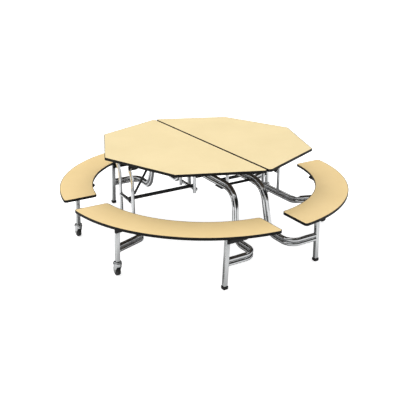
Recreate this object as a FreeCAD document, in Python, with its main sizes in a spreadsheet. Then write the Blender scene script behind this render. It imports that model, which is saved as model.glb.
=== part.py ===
"""Octagonal folding cafeteria table with four curved benches, on one folding frame.

Frame of the model: origin on the floor under the middle of the open table, +Z up, the fold
line along Y, the two table halves towards -X (left) and +X (right). All sizes in millimetres.
"""

import FreeCAD, Part
import math
import os
import re
import Sketcher

doc = FreeCAD.newDocument("FoldingTableWithBenches")

# ---------------------------------------------------------------- driving dimensions

sheet = doc.addObject("Spreadsheet::Sheet", "Sizes")

DRIVING = (
    ("top_across_flats", 1524.0, "octagon, flat side to flat side"),
    ("top_height", 736.6, "floor to the table surface"),
    ("top_thickness", 19.0, "table board"),
    ("band_thickness", 4.0, "edge band round every board"),
    ("fold_gap", 12.0, "gap between the two table halves"),
    ("split_corner_radius", 20.0, "plan radius where a half meets the fold line"),
    ("top_corner_radius", 12.0, "plan radius of the other octagon corners"),
    ("bench_inner_radius", 866.0, "inner arc of the seats"),
    ("bench_width", 248.0, "inner arc to outer arc of the seats"),
    ("bench_height", 435.0, "floor to the seat surface"),
    ("bench_thickness", 19.0, "seat board"),
    ("bench_end_offset", 95.0, "straight seat ends to the table's centre planes"),
    ("bench_outer_corner", 20.0, "plan radius of the outer seat corners"),
    ("bench_inner_corner", 25.0, "plan radius of the inner seat corners"),
    ("tube_diameter", 31.75, "round frame tube"),
    ("tube_wall", 1.65, "wall of the frame tube"),
    ("weld_gap", 0.1, "between round tubes that are welded side by side"),
    ("upright_diameter", 25.4, "uprights and crossbars"),
    ("upright_wall", 1.6, "wall of uprights and crossbars"),
    ("leg_side", 30.0, "square leg tube"),
    ("leg_splay", 2.4, "degrees that the legs lean out, along X"),
    ("leg_wall", 1.8, "wall of the leg tube"),
    ("leg_above_pivot", 16.0, "leg top over the bench pivot"),
    ("link_span", 533.0, "pivot to pivot, the same on halves, links and benches"),
    ("arch_half_spacing", 122.0, "centre plane to the upper run of an arch"),
    ("arch_foot_half_spacing", 147.0, "centre plane to the lower runs of an arch"),
    ("arch_run_height", 551.0, "middle of the upper run of an arch"),
    ("arch_low_height", 194.0, "middle of the lower runs of an arch"),
    ("arch_top_corner", 605.0, "Y of an arch's upper corner point"),
    ("arch_low_corner", 663.0, "Y of an arch's lower corner point"),
    ("arch_top_bend", 140.0, "upper bends of an arch"),
    ("arch_low_bend", 85.0, "lower bends of an arch, where it starts to rise"),
    ("plan_bend_radius", 84.0, "bends of the arches in plan"),
    ("glide_leg_setback", 382.0, "centre plane to the bench pin in a glide leg, along X"),
    ("glide_leg_reach", 903.0, "centre plane to a glide leg, along Y"),
    ("caster_leg_reach", 374.0, "centre plane to a caster leg, along Y"),
    ("stretcher_height", 208.0, "middle of the stretchers"),
    ("stretcher_corner_reach", 288.0, "centre plane to a stretcher's corner point, along Y"),
    ("stretcher_bend_radius", 60.0, "bends of the stretchers"),
    ("stretcher_outset", 15.0, "stretcher outside the foot of the outer uprights"),
    ("upright_spread", 105.0, "centre plane to each upright, along Y"),
    ("jog_low_drop", 82.0, "table pivots to where the outer uprights start to step out"),
    ("jog_high_drop", 16.0, "table pivots to where that step ends"),
    ("jog_radius", 60.0, "bends of that step"),
    ("crossbar_drop", 259.6, "table pivots to the middle of the crossbars"),
    ("crossbar_step", 15.0, "crossbars nearer to the centre than the table pivots"),
    ("inner_crossbar_inset", 6.0, "inner crossbar ends short of the middle of its uprights"),
    ("inner_upright_tail", 24.0, "inner upright below the middle of its crossbar"),
    ("top_pivot_drop", 58.0, "underside of the board to the table pivots"),
    ("bench_pivot_drop", 57.0, "underside of the seat to the bench pivots"),
    ("pin_diameter", 10.0, "pivot pins"),
    ("pin_head_diameter", 18.0, "heads of the pivot pins"),
    ("pin_head_thickness", 5.0, "heads of the pivot pins"),
    ("running_clearance", 0.08, "radial, pin in its hole"),
    ("loop_clearance", 0.6, "radial, at the pivots that close the linkage"),
    ("side_clearance", 1.0, "between a bracket cheek and what turns in it"),
    ("top_bracket_sheet", 3.0, "steel of the brackets under the table"),
    ("top_bracket_length", 125.0, "pivot to the far end of a table bracket"),
    ("top_bracket_heel", 16.0, "pivot to the near end of a table bracket"),
    ("top_bracket_depth", 10.0, "table bracket below its pivot"),
    ("top_bracket_flat", 45.0, "pivot to where the lower edge starts to rise"),
    ("top_bracket_tip", 25.0, "height of the far end of a table bracket"),
    ("bench_bracket_sheet", 4.0, "steel of the brackets under the seats"),
    ("glide_bracket_length", 164.0, "pivot to the far end of a seat bracket on a glide leg"),
    ("glide_bracket_heel", 11.0, "pivot to the near end of a seat bracket on a glide leg"),
    ("glide_bracket_depth", 29.0, "seat bracket on a glide leg below its pivot"),
    ("glide_bracket_flat", 148.0, "pivot to where its lower edge starts to rise"),
    ("glide_bracket_tip", 13.0, "height of its far end"),
    ("caster_bracket_length", 140.0, "pivot to the far end of a seat bracket on a caster leg"),
    ("caster_bracket_heel", 27.0, "pivot to the near end of a seat bracket on a caster leg"),
    ("caster_bracket_depth", 29.0, "seat bracket on a caster leg below its pivot"),
    ("caster_bracket_flat", 24.0, "pivot to where its lower edge starts to rise"),
    ("caster_bracket_tip", 13.0, "height of its far end"),
    ("bracket_corner_radius", 9.0, "lower corners of all brackets"),
    ("cross_tube_reach", 446.0, "centre plane to each cross tube between the arches, along Y"),
    ("cross_tube_diameter", 20.0, "cross tubes between the arches"),
    ("arch_pad_reach", 410.0, "centre plane to each pad under an arch, along Y"),
    ("arch_pad_length", 84.0, "pads under an arch, along Y"),
    ("arch_pad_width", 22.0, "pads under an arch, along X"),
    ("arch_pad_depth", 8.0, "pads under an arch, along Z"),
    ("cross_channel_side", 25.0, "square cross channels under the arches"),
    ("link_bar_width", 16.0, "link bar, along Y"),
    ("link_bar_depth", 22.0, "link bar, along Z"),
    ("link_bar_offset", 73.0, "link bar to the centre plane"),
    ("link_sleeve_wall", 3.2, "sleeves that turn on the crossbars"),
    ("link_sleeve_length", 19.0, "sleeves that turn on the crossbars"),
    ("link_bar_sink", 4.0, "link bar into its sleeves"),
    ("strut_offset", 40.0, "lift strut to the centre plane"),
    ("strut_foot_inset", 30.0, "outer crossbar to the strut's lower pin, along X"),
    ("strut_foot_rise", 17.0, "outer crossbar to the strut's lower pin, along Z"),
    ("strut_head_setback", 226.0, "outer table pivot to the strut's upper pin, along X"),
    ("strut_head_drop", 16.0, "underside of the board to the strut's upper pin"),
    ("strut_rod_diameter", 8.0, "piston rod"),
    ("strut_rod_length", 230.0, "lower pin to the tip of the rod"),
    ("strut_bore_diameter", 12.0, "inside of the strut's cylinder"),
    ("strut_cylinder_wall", 2.75, "wall of the strut's cylinder"),
    ("strut_cylinder_length", 285.0, "strut's cylinder"),
    ("strut_eye_gap", 25.0, "upper pin to the cylinder's closed end"),
    ("strut_eye_diameter", 18.0, "eyes of the strut"),
    ("strut_eye_thickness", 10.0, "eyes of the strut"),
    ("strut_pin_diameter", 8.0, "pins of the strut"),
    ("strut_lug_thickness", 6.0, "lugs that hold the strut's pins"),
    ("strut_lug_width", 22.0, "lugs that hold the strut's pins"),
    ("strut_lug_gap", 2.0, "lug to eye"),
    ("glide_side", 37.0, "square glide foot"),
    ("glide_height", 24.0, "square glide foot"),
    ("glide_tread", 8.0, "glide foot below the leg tube"),
    ("caster_height", 112.0, "floor to the underside of a caster leg"),
    ("caster_trail", 16.0, "swivel axis to the axle"),
    ("wheel_diameter", 75.0, "caster wheel"),
    ("wheel_width", 28.0, "caster wheel"),
    ("wheel_edge_radius", 7.0, "rounded tread edges"),
    ("wheel_dish", 3.0, "depth of the hollow in each wheel face"),
    ("wheel_rim_width", 9.0, "tyre outside that hollow"),
    ("hub_diameter", 24.0, "wheel hub"),
    ("fork_gap", 2.0, "wheel hub to each fork cheek"),
    ("fork_sheet", 3.0, "fork steel"),
    ("fork_width", 30.0, "fork cheek at the axle"),
    ("fork_crown_height", 9.0, "fork crown above the cheeks"),
    ("race_diameter", 60.0, "swivel race under the leg"),
    ("race_height", 8.0, "swivel race under the leg"),
    ("race_gap", 0.4, "leg to race"),
    ("stem_diameter", 12.0, "caster stem in the leg plug"),
    ("stem_length", 34.0, "caster stem in the leg plug"),
    ("plug_length", 42.0, "plug in the foot of a caster leg"),
    ("axle_diameter", 8.0, "caster axle"),
    ("stop_block_length", 24.0, "stop blocks at the fold line, along X"),
    ("stop_block_width", 26.0, "stop blocks at the fold line, along Y"),
    ("stop_block_depth", 12.0, "stop blocks at the fold line, along Z"),
    ("stop_block_reach", 735.0, "centre plane to the stop blocks, along Y"),
)

DERIVED = (
    ("top_underside", "=top_height - top_thickness"),
    ("bench_underside", "=bench_height - bench_thickness"),
    ("bench_outer_radius", "=bench_inner_radius + bench_width"),
    ("top_pivot_height", "=top_underside - top_pivot_drop"),
    ("crossbar_height", "=top_pivot_height - crossbar_drop"),
    ("bench_pivot_height", "=bench_underside - bench_pivot_drop"),
    ("inner_pivot", "=arch_half_spacing + tube_diameter / 2 + upright_diameter / 2 + weld_gap"),
    ("outer_pivot", "=inner_pivot + link_span"),
    ("outer_crossbar", "=outer_pivot - crossbar_step"),
    ("inner_crossbar", "=inner_pivot - crossbar_step"),
    ("stretcher_line", "=outer_crossbar + stretcher_outset"),
    ("caster_leg_setback", "=glide_leg_setback + link_span"),
    ("caster_line", "=caster_leg_setback + (bench_pivot_height - caster_height) * tan(leg_splay)"),
    ("glide_foot_line", "=glide_leg_setback + (bench_pivot_height - glide_height / 2) * tan(leg_splay)"),
    ("jog_low", "=top_pivot_height - jog_low_drop"),
    ("jog_high", "=top_pivot_height - jog_high_drop"),
    ("pair_spacing", "=tube_diameter + weld_gap"),
    ("pin_hole_radius", "=pin_diameter / 2 + running_clearance"),
    ("loop_hole_radius", "=pin_diameter / 2 + loop_clearance"),
    ("strut_foot", "=outer_crossbar - strut_foot_inset"),
    ("strut_foot_height", "=crossbar_height + strut_foot_rise"),
    ("strut_head", "=outer_pivot - strut_head_setback"),
    ("strut_head_height", "=top_underside - strut_head_drop"),
    ("axle_height", "=wheel_diameter / 2"),
)

row = 0
for alias, value, meaning in DRIVING:
    row += 1
    sheet.set(f"A{row}", meaning)
    sheet.set(f"B{row}", str(value))
    sheet.setAlias(f"B{row}", alias)
for alias, formula in DERIVED:
    row += 1
    sheet.set(f"A{row}", alias.replace("_", " "))
    sheet.set(f"B{row}", formula)
    sheet.setAlias(f"B{row}", alias)
doc.recompute()

ALIASES = {entry[0] for entry in DRIVING + DERIVED}
SIDES = {"left": -1, "right": 1}
ENDS = {"front": -1, "back": 1}
UP = FreeCAD.Vector(0, 0, 1)
AXIS_TURNS = {
    "X": FreeCAD.Rotation(FreeCAD.Vector(0, 1, 0), 90),
    "Y": FreeCAD.Rotation(FreeCAD.Vector(1, 0, 0), -90),
    "Z": FreeCAD.Rotation(),
}
nodes = {}


def size(alias):
    """The value of one cell of the sheet."""
    return float(sheet.get(alias))


def cell(expression):
    """The same expression with every sheet alias spelled out as a cell of Sizes."""
    return re.sub(r"[a-z_]+", lambda word: f"Sizes.{word[0]}" if word[0] in ALIASES else word[0], expression)


# ---------------------------------------------------------------- primitives bound to the sheet


def block(name, centre, extent):
    """A box about a centre; centre and extent are expressions along X, Y and Z."""
    box = doc.addObject("Part::Box", name)
    for side, span in zip(("Length", "Width", "Height"), extent):
        box.setExpression(side, cell(span))
    for axis, middle, span in zip("xyz", centre, extent):
        box.setExpression(f"Placement.Base.{axis}", cell(f"({middle}) - ({span}) / 2"))
    return box


def rod(name, axis, centre, radius, length):
    """A cylinder about a centre, along one axis of the model."""
    cylinder = doc.addObject("Part::Cylinder", name)
    cylinder.Placement = FreeCAD.Placement(FreeCAD.Vector(), AXIS_TURNS[axis])
    cylinder.setExpression("Radius", cell(radius))
    cylinder.setExpression("Height", cell(length))
    for letter, middle in zip("XYZ", centre):
        start = f"({middle}) - ({length}) / 2" if letter == axis else middle
        cylinder.setExpression(f"Placement.Base.{letter.lower()}", cell(start))
    return cylinder


def fuse(name, shapes):
    """One solid from several that overlap."""
    joined = doc.addObject("Part::MultiFuse", name)
    joined.Shapes = shapes
    return joined


def cut(name, base, tools):
    """A solid less one or several others."""
    result = doc.addObject("Part::Cut", name)
    result.Base = base
    result.Tool = tools[0] if len(tools) == 1 else fuse(f"{name}_tools", tools)
    return result


def together(name, shapes):
    """Several solids of one kind kept as one sub-part."""
    group = doc.addObject("Part::Compound", name)
    group.Links = shapes
    return group


def keep(name, thing):
    """Name a finished sub-part."""
    thing.Label = name
    nodes[name] = thing
    return thing


# ---------------------------------------------------------------- sketched bodies


def plane_of(body, role):
    """One of a body's own origin planes."""
    return next(item for item in body.Origin.OriginFeatures if item.Role == role)


def sketch_on(body, role, name):
    """An empty sketch on one of a body's origin planes."""
    sketch = body.newObject("Sketcher::SketchObject", name)
    sketch.AttachmentSupport = [(plane_of(body, role), "")]
    sketch.MapMode = "FlatFace"
    return sketch


def pin_point(sketch, index, corner, across, along):
    """Hold one end point of a sketch line at two expressions from the sketch's origin."""
    for kind, expression in (("DistanceX", across), ("DistanceY", along)):
        value = sheet.evalExpression(expression)
        number = sketch.addConstraint(Sketcher.Constraint(kind, -1, 1, index, corner, value))
        sketch.setExpression(f"Constraints[{number}]", cell(expression))


def polygon(sketch, corners):
    """A closed run of straight lines whose corners are pairs of expressions."""
    points = [
        FreeCAD.Vector(sheet.evalExpression(across), sheet.evalExpression(along), 0)
        for across, along in corners
    ]
    count = len(points)
    for index in range(count):
        sketch.addGeometry(Part.LineSegment(points[index], points[(index + 1) % count]), False)
    for index in range(count):
        following = (index + 1) % count
        sketch.addConstraint(Sketcher.Constraint("Coincident", index, 2, following, 1))
    for index, (across, along) in enumerate(corners):
        pin_point(sketch, index, 1, across, along)


def pad(body, sketch, name, length, midplane=False):
    """Thicken a sketch, from its plane or evenly to both sides."""
    feature = body.newObject("PartDesign::Pad", name)
    feature.Profile = sketch
    feature.SideType = "Symmetric" if midplane else "One side"
    feature.setExpression("Length", cell(length))
    return feature


def upright_edges(shape, wanted):
    """Names of the vertical edges whose plan position a test accepts."""
    names = []
    for index, edge in enumerate(shape.Edges, 1):
        low, high = edge.Vertexes[0].Point, edge.Vertexes[-1].Point
        if abs(low.x - high.x) + abs(low.y - high.y) < 1e-6 and wanted(low):
            names.append(f"Edge{index}")
    return names


def round_edges(body, base, name, edges, radius):
    """Round some edges of a feature."""
    feature = body.newObject("PartDesign::Fillet", name)
    feature.Base = (base, edges)
    feature.setExpression("Radius", cell(radius))
    return feature


def hollow_out(body, sketch, name, length, before):
    """Cut a sketch evenly to both sides of its plane and make sure that it removed something."""
    feature = body.newObject("PartDesign::Pocket", name)
    feature.Profile = sketch
    feature.SideType = "Symmetric"
    feature.setExpression("Length", cell(length))
    doc.recompute()
    if feature.Shape.Volume > before.Shape.Volume - 1.0:
        raise RuntimeError(f"{name} cuts nothing")
    return feature


def disc(body, role, name, radius):
    """A sketch with one circle about the body's origin."""
    sketch = sketch_on(body, role, name)
    value = sheet.evalExpression(radius)
    sketch.addGeometry(Part.Circle(FreeCAD.Vector(), UP, value), False)
    sketch.addConstraint(Sketcher.Constraint("Coincident", 0, 3, -1, 1))
    number = sketch.addConstraint(Sketcher.Constraint("Radius", 0, value))
    sketch.setExpression(f"Constraints[{number}]", cell(radius))
    return sketch


def place(thing, across, along, height, turned=False):
    """Put a body at three expressions, turned half round about Z where asked."""
    thing.Placement = FreeCAD.Placement(FreeCAD.Vector(), FreeCAD.Rotation(UP, 180 if turned else 0))
    for axis, expression in zip("xyz", (across, along, height)):
        thing.setExpression(f"Placement.Base.{axis}", cell(expression))
    return thing


# ---------------------------------------------------------------- bent tubes


def path_of(points, radii):
    """A wire of straight runs joined by tangent arcs; radii holds one radius per inner point."""
    edges = []
    start = points[0]
    for before, corner, after, radius in zip(points, points[1:], points[2:], radii):
        inward = (before - corner).normalize()
        outward = (after - corner).normalize()
        half_turn = inward.getAngle(outward) / 2
        reach = radius / math.tan(half_turn)
        first = corner + inward * reach
        last = corner + outward * reach
        bisector = (inward + outward).normalize()
        middle = corner + bisector * (radius / math.sin(half_turn) - radius)
        edges.append(Part.LineSegment(start, first).toShape())
        edges.append(Part.Arc(first, middle, last).toShape())
        start = last
    edges.append(Part.LineSegment(start, points[-1]).toShape())
    return Part.Wire(edges)


def bar_along(points, radii, radius):
    """A solid round bar along such a path."""
    path = path_of(points, radii)
    section = Part.Wire(Part.makeCircle(radius, points[0], points[1] - points[0]))
    bar = path.makePipeShell([section], True, True)
    expected = math.pi * radius**2 * path.Length
    if abs(bar.Volume - expected) > 0.01 * expected:
        raise RuntimeError("a bent bar lost its section")
    return bar


def tube_along(points, radii, diameter, wall):
    """The same with a bore from end to end."""
    return bar_along(points, radii, diameter / 2).cut(bar_along(points, radii, diameter / 2 - wall))


def shaped(name, shape):
    """An object of the document that carries a computed shape."""
    thing = doc.addObject("Part::Feature", name)
    thing.Shape = shape
    return thing


# ---------------------------------------------------------------- boards and their edge bands


def half_octagon(name, inset):
    """Half of the table board on the +X side, smaller by inset all round."""
    body = doc.addObject("PartDesign::Body", name)
    sketch = sketch_on(body, "XY_Plane", f"{name}_outline")
    radius = f"((top_across_flats / 2 - {inset}) / cos(22.5))"
    split_line = f"(fold_gap / 2 + {inset})"
    split_reach = f"({radius} - {split_line} * tan(22.5))"
    knee = f"({radius} * cos(45))"
    corners = ((split_line, f"-{split_reach}"), (knee, f"-{knee}"), (radius, "0"))
    polygon(sketch, corners + ((knee, knee), (split_line, split_reach)))
    board = pad(body, sketch, f"{name}_thickness", "top_thickness")
    doc.recompute()
    middle = sheet.evalExpression(f"{split_line} + 1")
    at_split = upright_edges(board.Shape, lambda point: point.x < middle)
    split = round_edges(body, board, f"{name}_split_corners", at_split, f"split_corner_radius - {inset}")
    doc.recompute()
    edge_room = 0.5 * size("top_across_flats") * math.tan(math.radians(22.5))
    outer = upright_edges(split.Shape, lambda point: point.x > edge_room)
    round_edges(body, split, f"{name}_corners", outer, f"top_corner_radius - {inset}")
    return body


def seat_sector(name, inset):
    """A quarter-ring seat in the +X +Y quadrant, smaller by inset all round."""
    body = doc.addObject("PartDesign::Body", name)
    sketch = sketch_on(body, "XY_Plane", f"{name}_outline")
    outer, inner = f"bench_outer_radius - {inset}", f"bench_inner_radius + {inset}"
    offset = sheet.evalExpression(f"bench_end_offset + {inset}")
    ends = []
    for index, expression in enumerate((outer, inner)):
        radius = sheet.evalExpression(expression)
        low = math.asin(offset / radius)
        circle = Part.Circle(FreeCAD.Vector(), UP, radius)
        sketch.addGeometry(Part.ArcOfCircle(circle, low, math.pi / 2 - low), False)
        sketch.addConstraint(Sketcher.Constraint("Coincident", index, 3, -1, 1))
        number = sketch.addConstraint(Sketcher.Constraint("Radius", index, radius))
        sketch.setExpression(f"Constraints[{number}]", cell(expression))
        ends.append(math.sqrt(radius**2 - offset**2))
    far, near = ends
    start_line = (FreeCAD.Vector(far, offset, 0), FreeCAD.Vector(near, offset, 0))
    end_line = (FreeCAD.Vector(offset, far, 0), FreeCAD.Vector(offset, near, 0))
    for index, (first, last), kind, distance, corner in (
        (2, start_line, "Horizontal", "DistanceY", 1),
        (3, end_line, "Vertical", "DistanceX", 2),
    ):
        sketch.addGeometry(Part.LineSegment(first, last), False)
        sketch.addConstraint(Sketcher.Constraint("Coincident", index, 1, 0, corner))
        sketch.addConstraint(Sketcher.Constraint("Coincident", index, 2, 1, corner))
        sketch.addConstraint(Sketcher.Constraint(kind, index))
        number = sketch.addConstraint(Sketcher.Constraint(distance, -1, 1, index, 1, offset))
        sketch.setExpression(f"Constraints[{number}]", cell(f"bench_end_offset + {inset}"))
    board = pad(body, sketch, f"{name}_thickness", "bench_thickness")
    doc.recompute()
    middle = (size("bench_outer_radius") + size("bench_inner_radius")) / 2
    outside = upright_edges(board.Shape, lambda point: math.hypot(point.x, point.y) > middle)
    outer_corners = round_edges(body, board, f"{name}_outer", outside, f"bench_outer_corner - {inset}")
    doc.recompute()
    inside = upright_edges(outer_corners.Shape, lambda point: math.hypot(point.x, point.y) < middle)
    round_edges(body, outer_corners, f"{name}_inner", inside, f"bench_inner_corner - {inset}")
    return body


def banded_board(name, blank, turn, height):
    """A board and the band round its edge, turned about Z and lifted to a height."""
    board = blank(f"{name}_board", "band_thickness")
    outline = blank(f"{name}_outline", "0")
    for body in (board, outline):
        body.Placement = FreeCAD.Placement(FreeCAD.Vector(), FreeCAD.Rotation(UP, turn))
        body.setExpression("Placement.Base.z", cell(height))
    keep(name, board)
    keep(f"{name}_edge", cut(f"{name}_band", outline, [board]))


for side, sign in SIDES.items():
    banded_board(f"table_top_{side}", half_octagon, 0 if sign > 0 else 180, "top_underside")
for (end, side), turn in {
    ("back", "right"): 0,
    ("back", "left"): 90,
    ("front", "left"): 180,
    ("front", "right"): 270,
}.items():
    banded_board(f"bench_{end}_{side}", seat_sector, turn, "bench_underside")


# ---------------------------------------------------------------- pivot brackets


def bracket_body(name, kind, outline, width):
    """The outline of a kind of bracket about its pivot, thickened; its long end points along +X."""
    body = doc.addObject("PartDesign::Body", name)
    sketch = sketch_on(body, "XZ_Plane", f"{name}_outline")
    heel, depth, drop = f"{outline}_bracket_heel", f"{outline}_bracket_depth", f"{kind}_pivot_drop"
    length, tip = f"{outline}_bracket_length", f"{outline}_bracket_tip"
    flat = f"{outline}_bracket_flat"
    corners = ((f"-{heel}", f"-{depth}"), (flat, f"-{depth}"), (length, f"{drop} - {tip}"))
    polygon(sketch, corners + ((length, drop), (f"-{heel}", drop)))
    plate = pad(body, sketch, f"{name}_plate", width, midplane=True)
    doc.recompute()
    low = -size(depth) + 1e-3
    lower = [
        f"Edge{index}"
        for index, edge in enumerate(plate.Shape.Edges, 1)
        if all(vertex.Point.z < low for vertex in edge.Vertexes)
        and abs(edge.Vertexes[0].Point.x - edge.Vertexes[-1].Point.x) < 1e-6
    ]
    round_edges(body, plate, f"{name}_rounding", lower, "bracket_corner_radius")
    return body


def angle_bracket(name, kind, outline, member, across, end_sign, reach, turned):
    """An angle under a board: a cheek beside a frame member, a flange over the member, and a pin
    through it with a head at each end. All brackets of an outline are one part: the cheek is in
    front of the member where the long end points along +X, and behind it where it is turned."""
    sheet_thickness = f"{kind}_bracket_sheet"
    width = f"({member} + 2 * side_clearance + 2 * {sheet_thickness})"
    body = bracket_body(name, kind, outline, width)
    heads = pad(
        body, disc(body, "XZ_Plane", f"{name}_head", "pin_head_diameter / 2"), f"{name}_heads",
        f"{width} + 2 * pin_head_thickness", midplane=True,
    )
    doc.recompute()
    beside = f"({member} / 2 + side_clearance)"
    outside = f"({width} / 2 + 2 * pin_head_thickness)"
    slot = sketch_on(body, "YZ_Plane", f"{name}_slot_outline")
    floor = f"-{outline}_bracket_depth - pin_head_diameter"
    ceiling = f"{kind}_pivot_drop - {sheet_thickness}"
    polygon(slot, ((f"-{beside}", floor), (outside, floor), (outside, ceiling), (f"-{beside}", ceiling)))
    slot_length = f"2 * ({outline}_bracket_length + {outline}_bracket_heel)"
    hollow_out(body, slot, f"{name}_slot", slot_length, heads)
    pin_end = disc(body, "XZ_Plane", f"{name}_pin_end", "pin_diameter / 2")
    pad(body, pin_end, f"{name}_pin", width, midplane=True)
    place(body, across, f"{end_sign} * {reach}", f"{kind}_pivot_height", turned)
    free_side = "-" if turned else "+"
    nut_along = f"{end_sign} * {reach} {free_side} ({beside} + pin_head_thickness / 2)"
    nut_centre = (across, nut_along, f"{kind}_pivot_height")
    nut = rod(f"{name}_nut", "Y", nut_centre, "pin_head_diameter / 2", "pin_head_thickness")
    return fuse(f"{name}_with_nut", [body, nut])


def strut_lug_y():
    """Y of the middle of the lugs beside the strut's eyes."""
    return "(-strut_offset - strut_eye_thickness / 2 - strut_lug_gap - strut_lug_thickness / 2)"


def strut_stud(name, across, height):
    """The pin that stands out of a strut lug and carries an eye, with its head."""
    reach = "(strut_lug_thickness / 2 + strut_lug_gap + strut_eye_thickness + strut_lug_gap)"
    along = f"{strut_lug_y()} + {reach} / 2"
    shank = rod(f"{name}_shank", "Y", (across, along, height), "strut_pin_diameter / 2", reach)
    outer = f"{strut_lug_y()} + {reach}"
    head = rod(f"{name}_head", "Y", (across, outer, height), "strut_eye_diameter / 3", "strut_lug_gap")
    return [shank, head]


def strut_hanger(name, sign):
    """The lug under the table board that holds the top of a lift strut."""
    across = f"{sign} * strut_head"
    height = "(strut_head_drop + strut_lug_width / 2)"
    plate_centre = (across, strut_lug_y(), f"top_underside - {height} / 2")
    plate = block(f"{name}_plate", plate_centre, ("strut_lug_width", "strut_lug_thickness", height))
    foot_centre = (across, strut_lug_y(), "top_underside - top_bracket_sheet / 2")
    foot = block(f"{name}_foot", foot_centre, ("2 * strut_lug_width", "strut_lug_width", "top_bracket_sheet"))
    return fuse(name, [plate, foot] + strut_stud(name, across, "strut_head_height"))


def stop_block(name, sign, end_sign):
    """A block under the board beside the fold line, opposite its twin on the other half."""
    across = f"{sign} * (fold_gap / 2 + band_thickness + stop_block_length / 2)"
    centre = (across, f"{end_sign} * stop_block_reach", "top_underside - stop_block_depth / 2")
    return block(name, centre, ("stop_block_length", "stop_block_width", "stop_block_depth"))


for side, sign in SIDES.items():
    brackets = []
    for end, end_sign in ENDS.items():
        for place_name, turned in (("outer", sign > 0), ("inner", sign < 0)):
            across = f"{place_name}_pivot"
            brackets.append(angle_bracket(
                f"{place_name}_bracket_{end}_{side}", "top", "top", "upright_diameter", f"{sign} * {across}",
                end_sign, "upright_spread", turned,
            ))
        brackets.append(stop_block(f"stop_block_{end}_{side}", sign, end_sign))
        seat_brackets = [
            angle_bracket(
                f"{leg_kind}_bracket_{end}_{side}", "bench", leg_kind, "leg_side",
                f"{sign} * {leg_kind}_leg_setback", end_sign, f"{leg_kind}_leg_reach", turned=sign > 0,
            )
            for leg_kind in ("caster", "glide")
        ]
        keep(f"bench_brackets_{end}_{side}", together(f"bench_brackets_{end}_{side}", seat_brackets))
    brackets.append(strut_hanger(f"strut_hanger_{side}", sign))
    keep(f"top_brackets_{side}", together(f"top_brackets_{side}", brackets))


# ---------------------------------------------------------------- legs, feet and casters


leg_faces = {}


def leaning_bar(name, sign, setback, along, extent, low, high):
    """A bar with a rectangular section about a bench pin that leans out towards the floor; low and
    high are measured along it from the pin."""
    bar = doc.addObject("Part::Box", name)
    across, breadth = extent
    lean_axis = FreeCAD.Vector(0, -sign, 0)
    bar.Placement = FreeCAD.Placement(FreeCAD.Vector(), FreeCAD.Rotation(lean_axis, 1))
    bar.setExpression("Placement.Rotation.Angle", cell("leg_splay"))
    bar.setExpression("Length", cell(across))
    bar.setExpression("Width", cell(breadth))
    bar.setExpression("Height", cell(f"({high}) - ({low})"))
    side_shift = f"{across} / 2 * cos(leg_splay) + {sign} * ({low}) * sin(leg_splay)"
    bar.setExpression("Placement.Base.x", cell(f"{sign} * {setback} - ({side_shift})"))
    bar.setExpression("Placement.Base.y", cell(f"{along} - ({breadth}) / 2"))
    lift = f"({low}) * cos(leg_splay) - {sign} * {across} / 2 * sin(leg_splay)"
    bar.setExpression("Placement.Base.z", cell(f"bench_pivot_height + {lift}"))
    return bar


def leg(name, sign, setback, along, foot_height, bore_radius, cavity_height):
    """A square leg tube, closed at its top and cut level at its foot, with its hollows."""
    place_of = (sign, setback, along)
    low = f"(-(bench_pivot_height - {foot_height}) / cos(leg_splay) - leg_side / 2)"
    solid = leaning_bar(f"{name}_solid", *place_of, ("leg_side", "leg_side"), low, "leg_above_pivot")
    broad = ("leg_side", "2 * leg_side")
    leg_faces[name] = leaning_bar(f"{name}_faces", *place_of, broad, low, "leg_above_pivot")
    level_line = f"{sign} * ({setback} + (bench_pivot_height - {foot_height}) * tan(leg_splay))"
    level = block(f"{name}_level", (level_line, along, f"{foot_height} - leg_side"), ("2 * leg_side",) * 3)
    inside = "(leg_side - 2 * leg_wall)"
    cavity_low = f"(-(bench_pivot_height - {cavity_height}) / cos(leg_splay))"
    cavity_high = "(leg_above_pivot - leg_wall)"
    cavity = leaning_bar(f"{name}_cavity", *place_of, (inside, inside), cavity_low, cavity_high)
    centre = (f"{sign} * {setback}", along, "bench_pivot_height")
    hole = rod(f"{name}_hole", "Y", centre, bore_radius, "2 * leg_side")
    return cut(f"{name}_tube", solid, [level]), [cavity, hole]


def glide_leg(name, sign, along):
    """A leg that stands on a square foot, and the foot."""
    tube, hollows = leg(
        f"{name}_leg", sign, "glide_leg_setback", along, "glide_tread", "loop_hole_radius",
        "(glide_tread - leg_side / 2)",
    )
    foot_centre = (f"{sign} * glide_foot_line", along, "glide_height / 2")
    foot = block(f"{name}_foot_blank", foot_centre, ("glide_side", "glide_side", "glide_height"))
    keep(f"{name}_foot", cut(f"{name}_foot", foot, [tube]))
    keep(f"{name}_leg", cut(f"{name}_leg", tube, hollows))


def caster_leg(name, sign, along):
    """A leg whose solid plug takes a caster's stem."""
    tube, hollows = leg(
        f"{name}_leg", sign, "caster_leg_setback", along, "caster_height", "pin_hole_radius",
        "(caster_height + plug_length)",
    )
    centre = (f"{sign} * caster_line", along, "caster_height")
    hole = rod(f"{name}_socket", "Z", centre, "stem_diameter / 2 + running_clearance", "2 * stem_length + 2")
    keep(f"{name}_leg", cut(f"{name}_leg", tube, hollows + [hole]))


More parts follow.
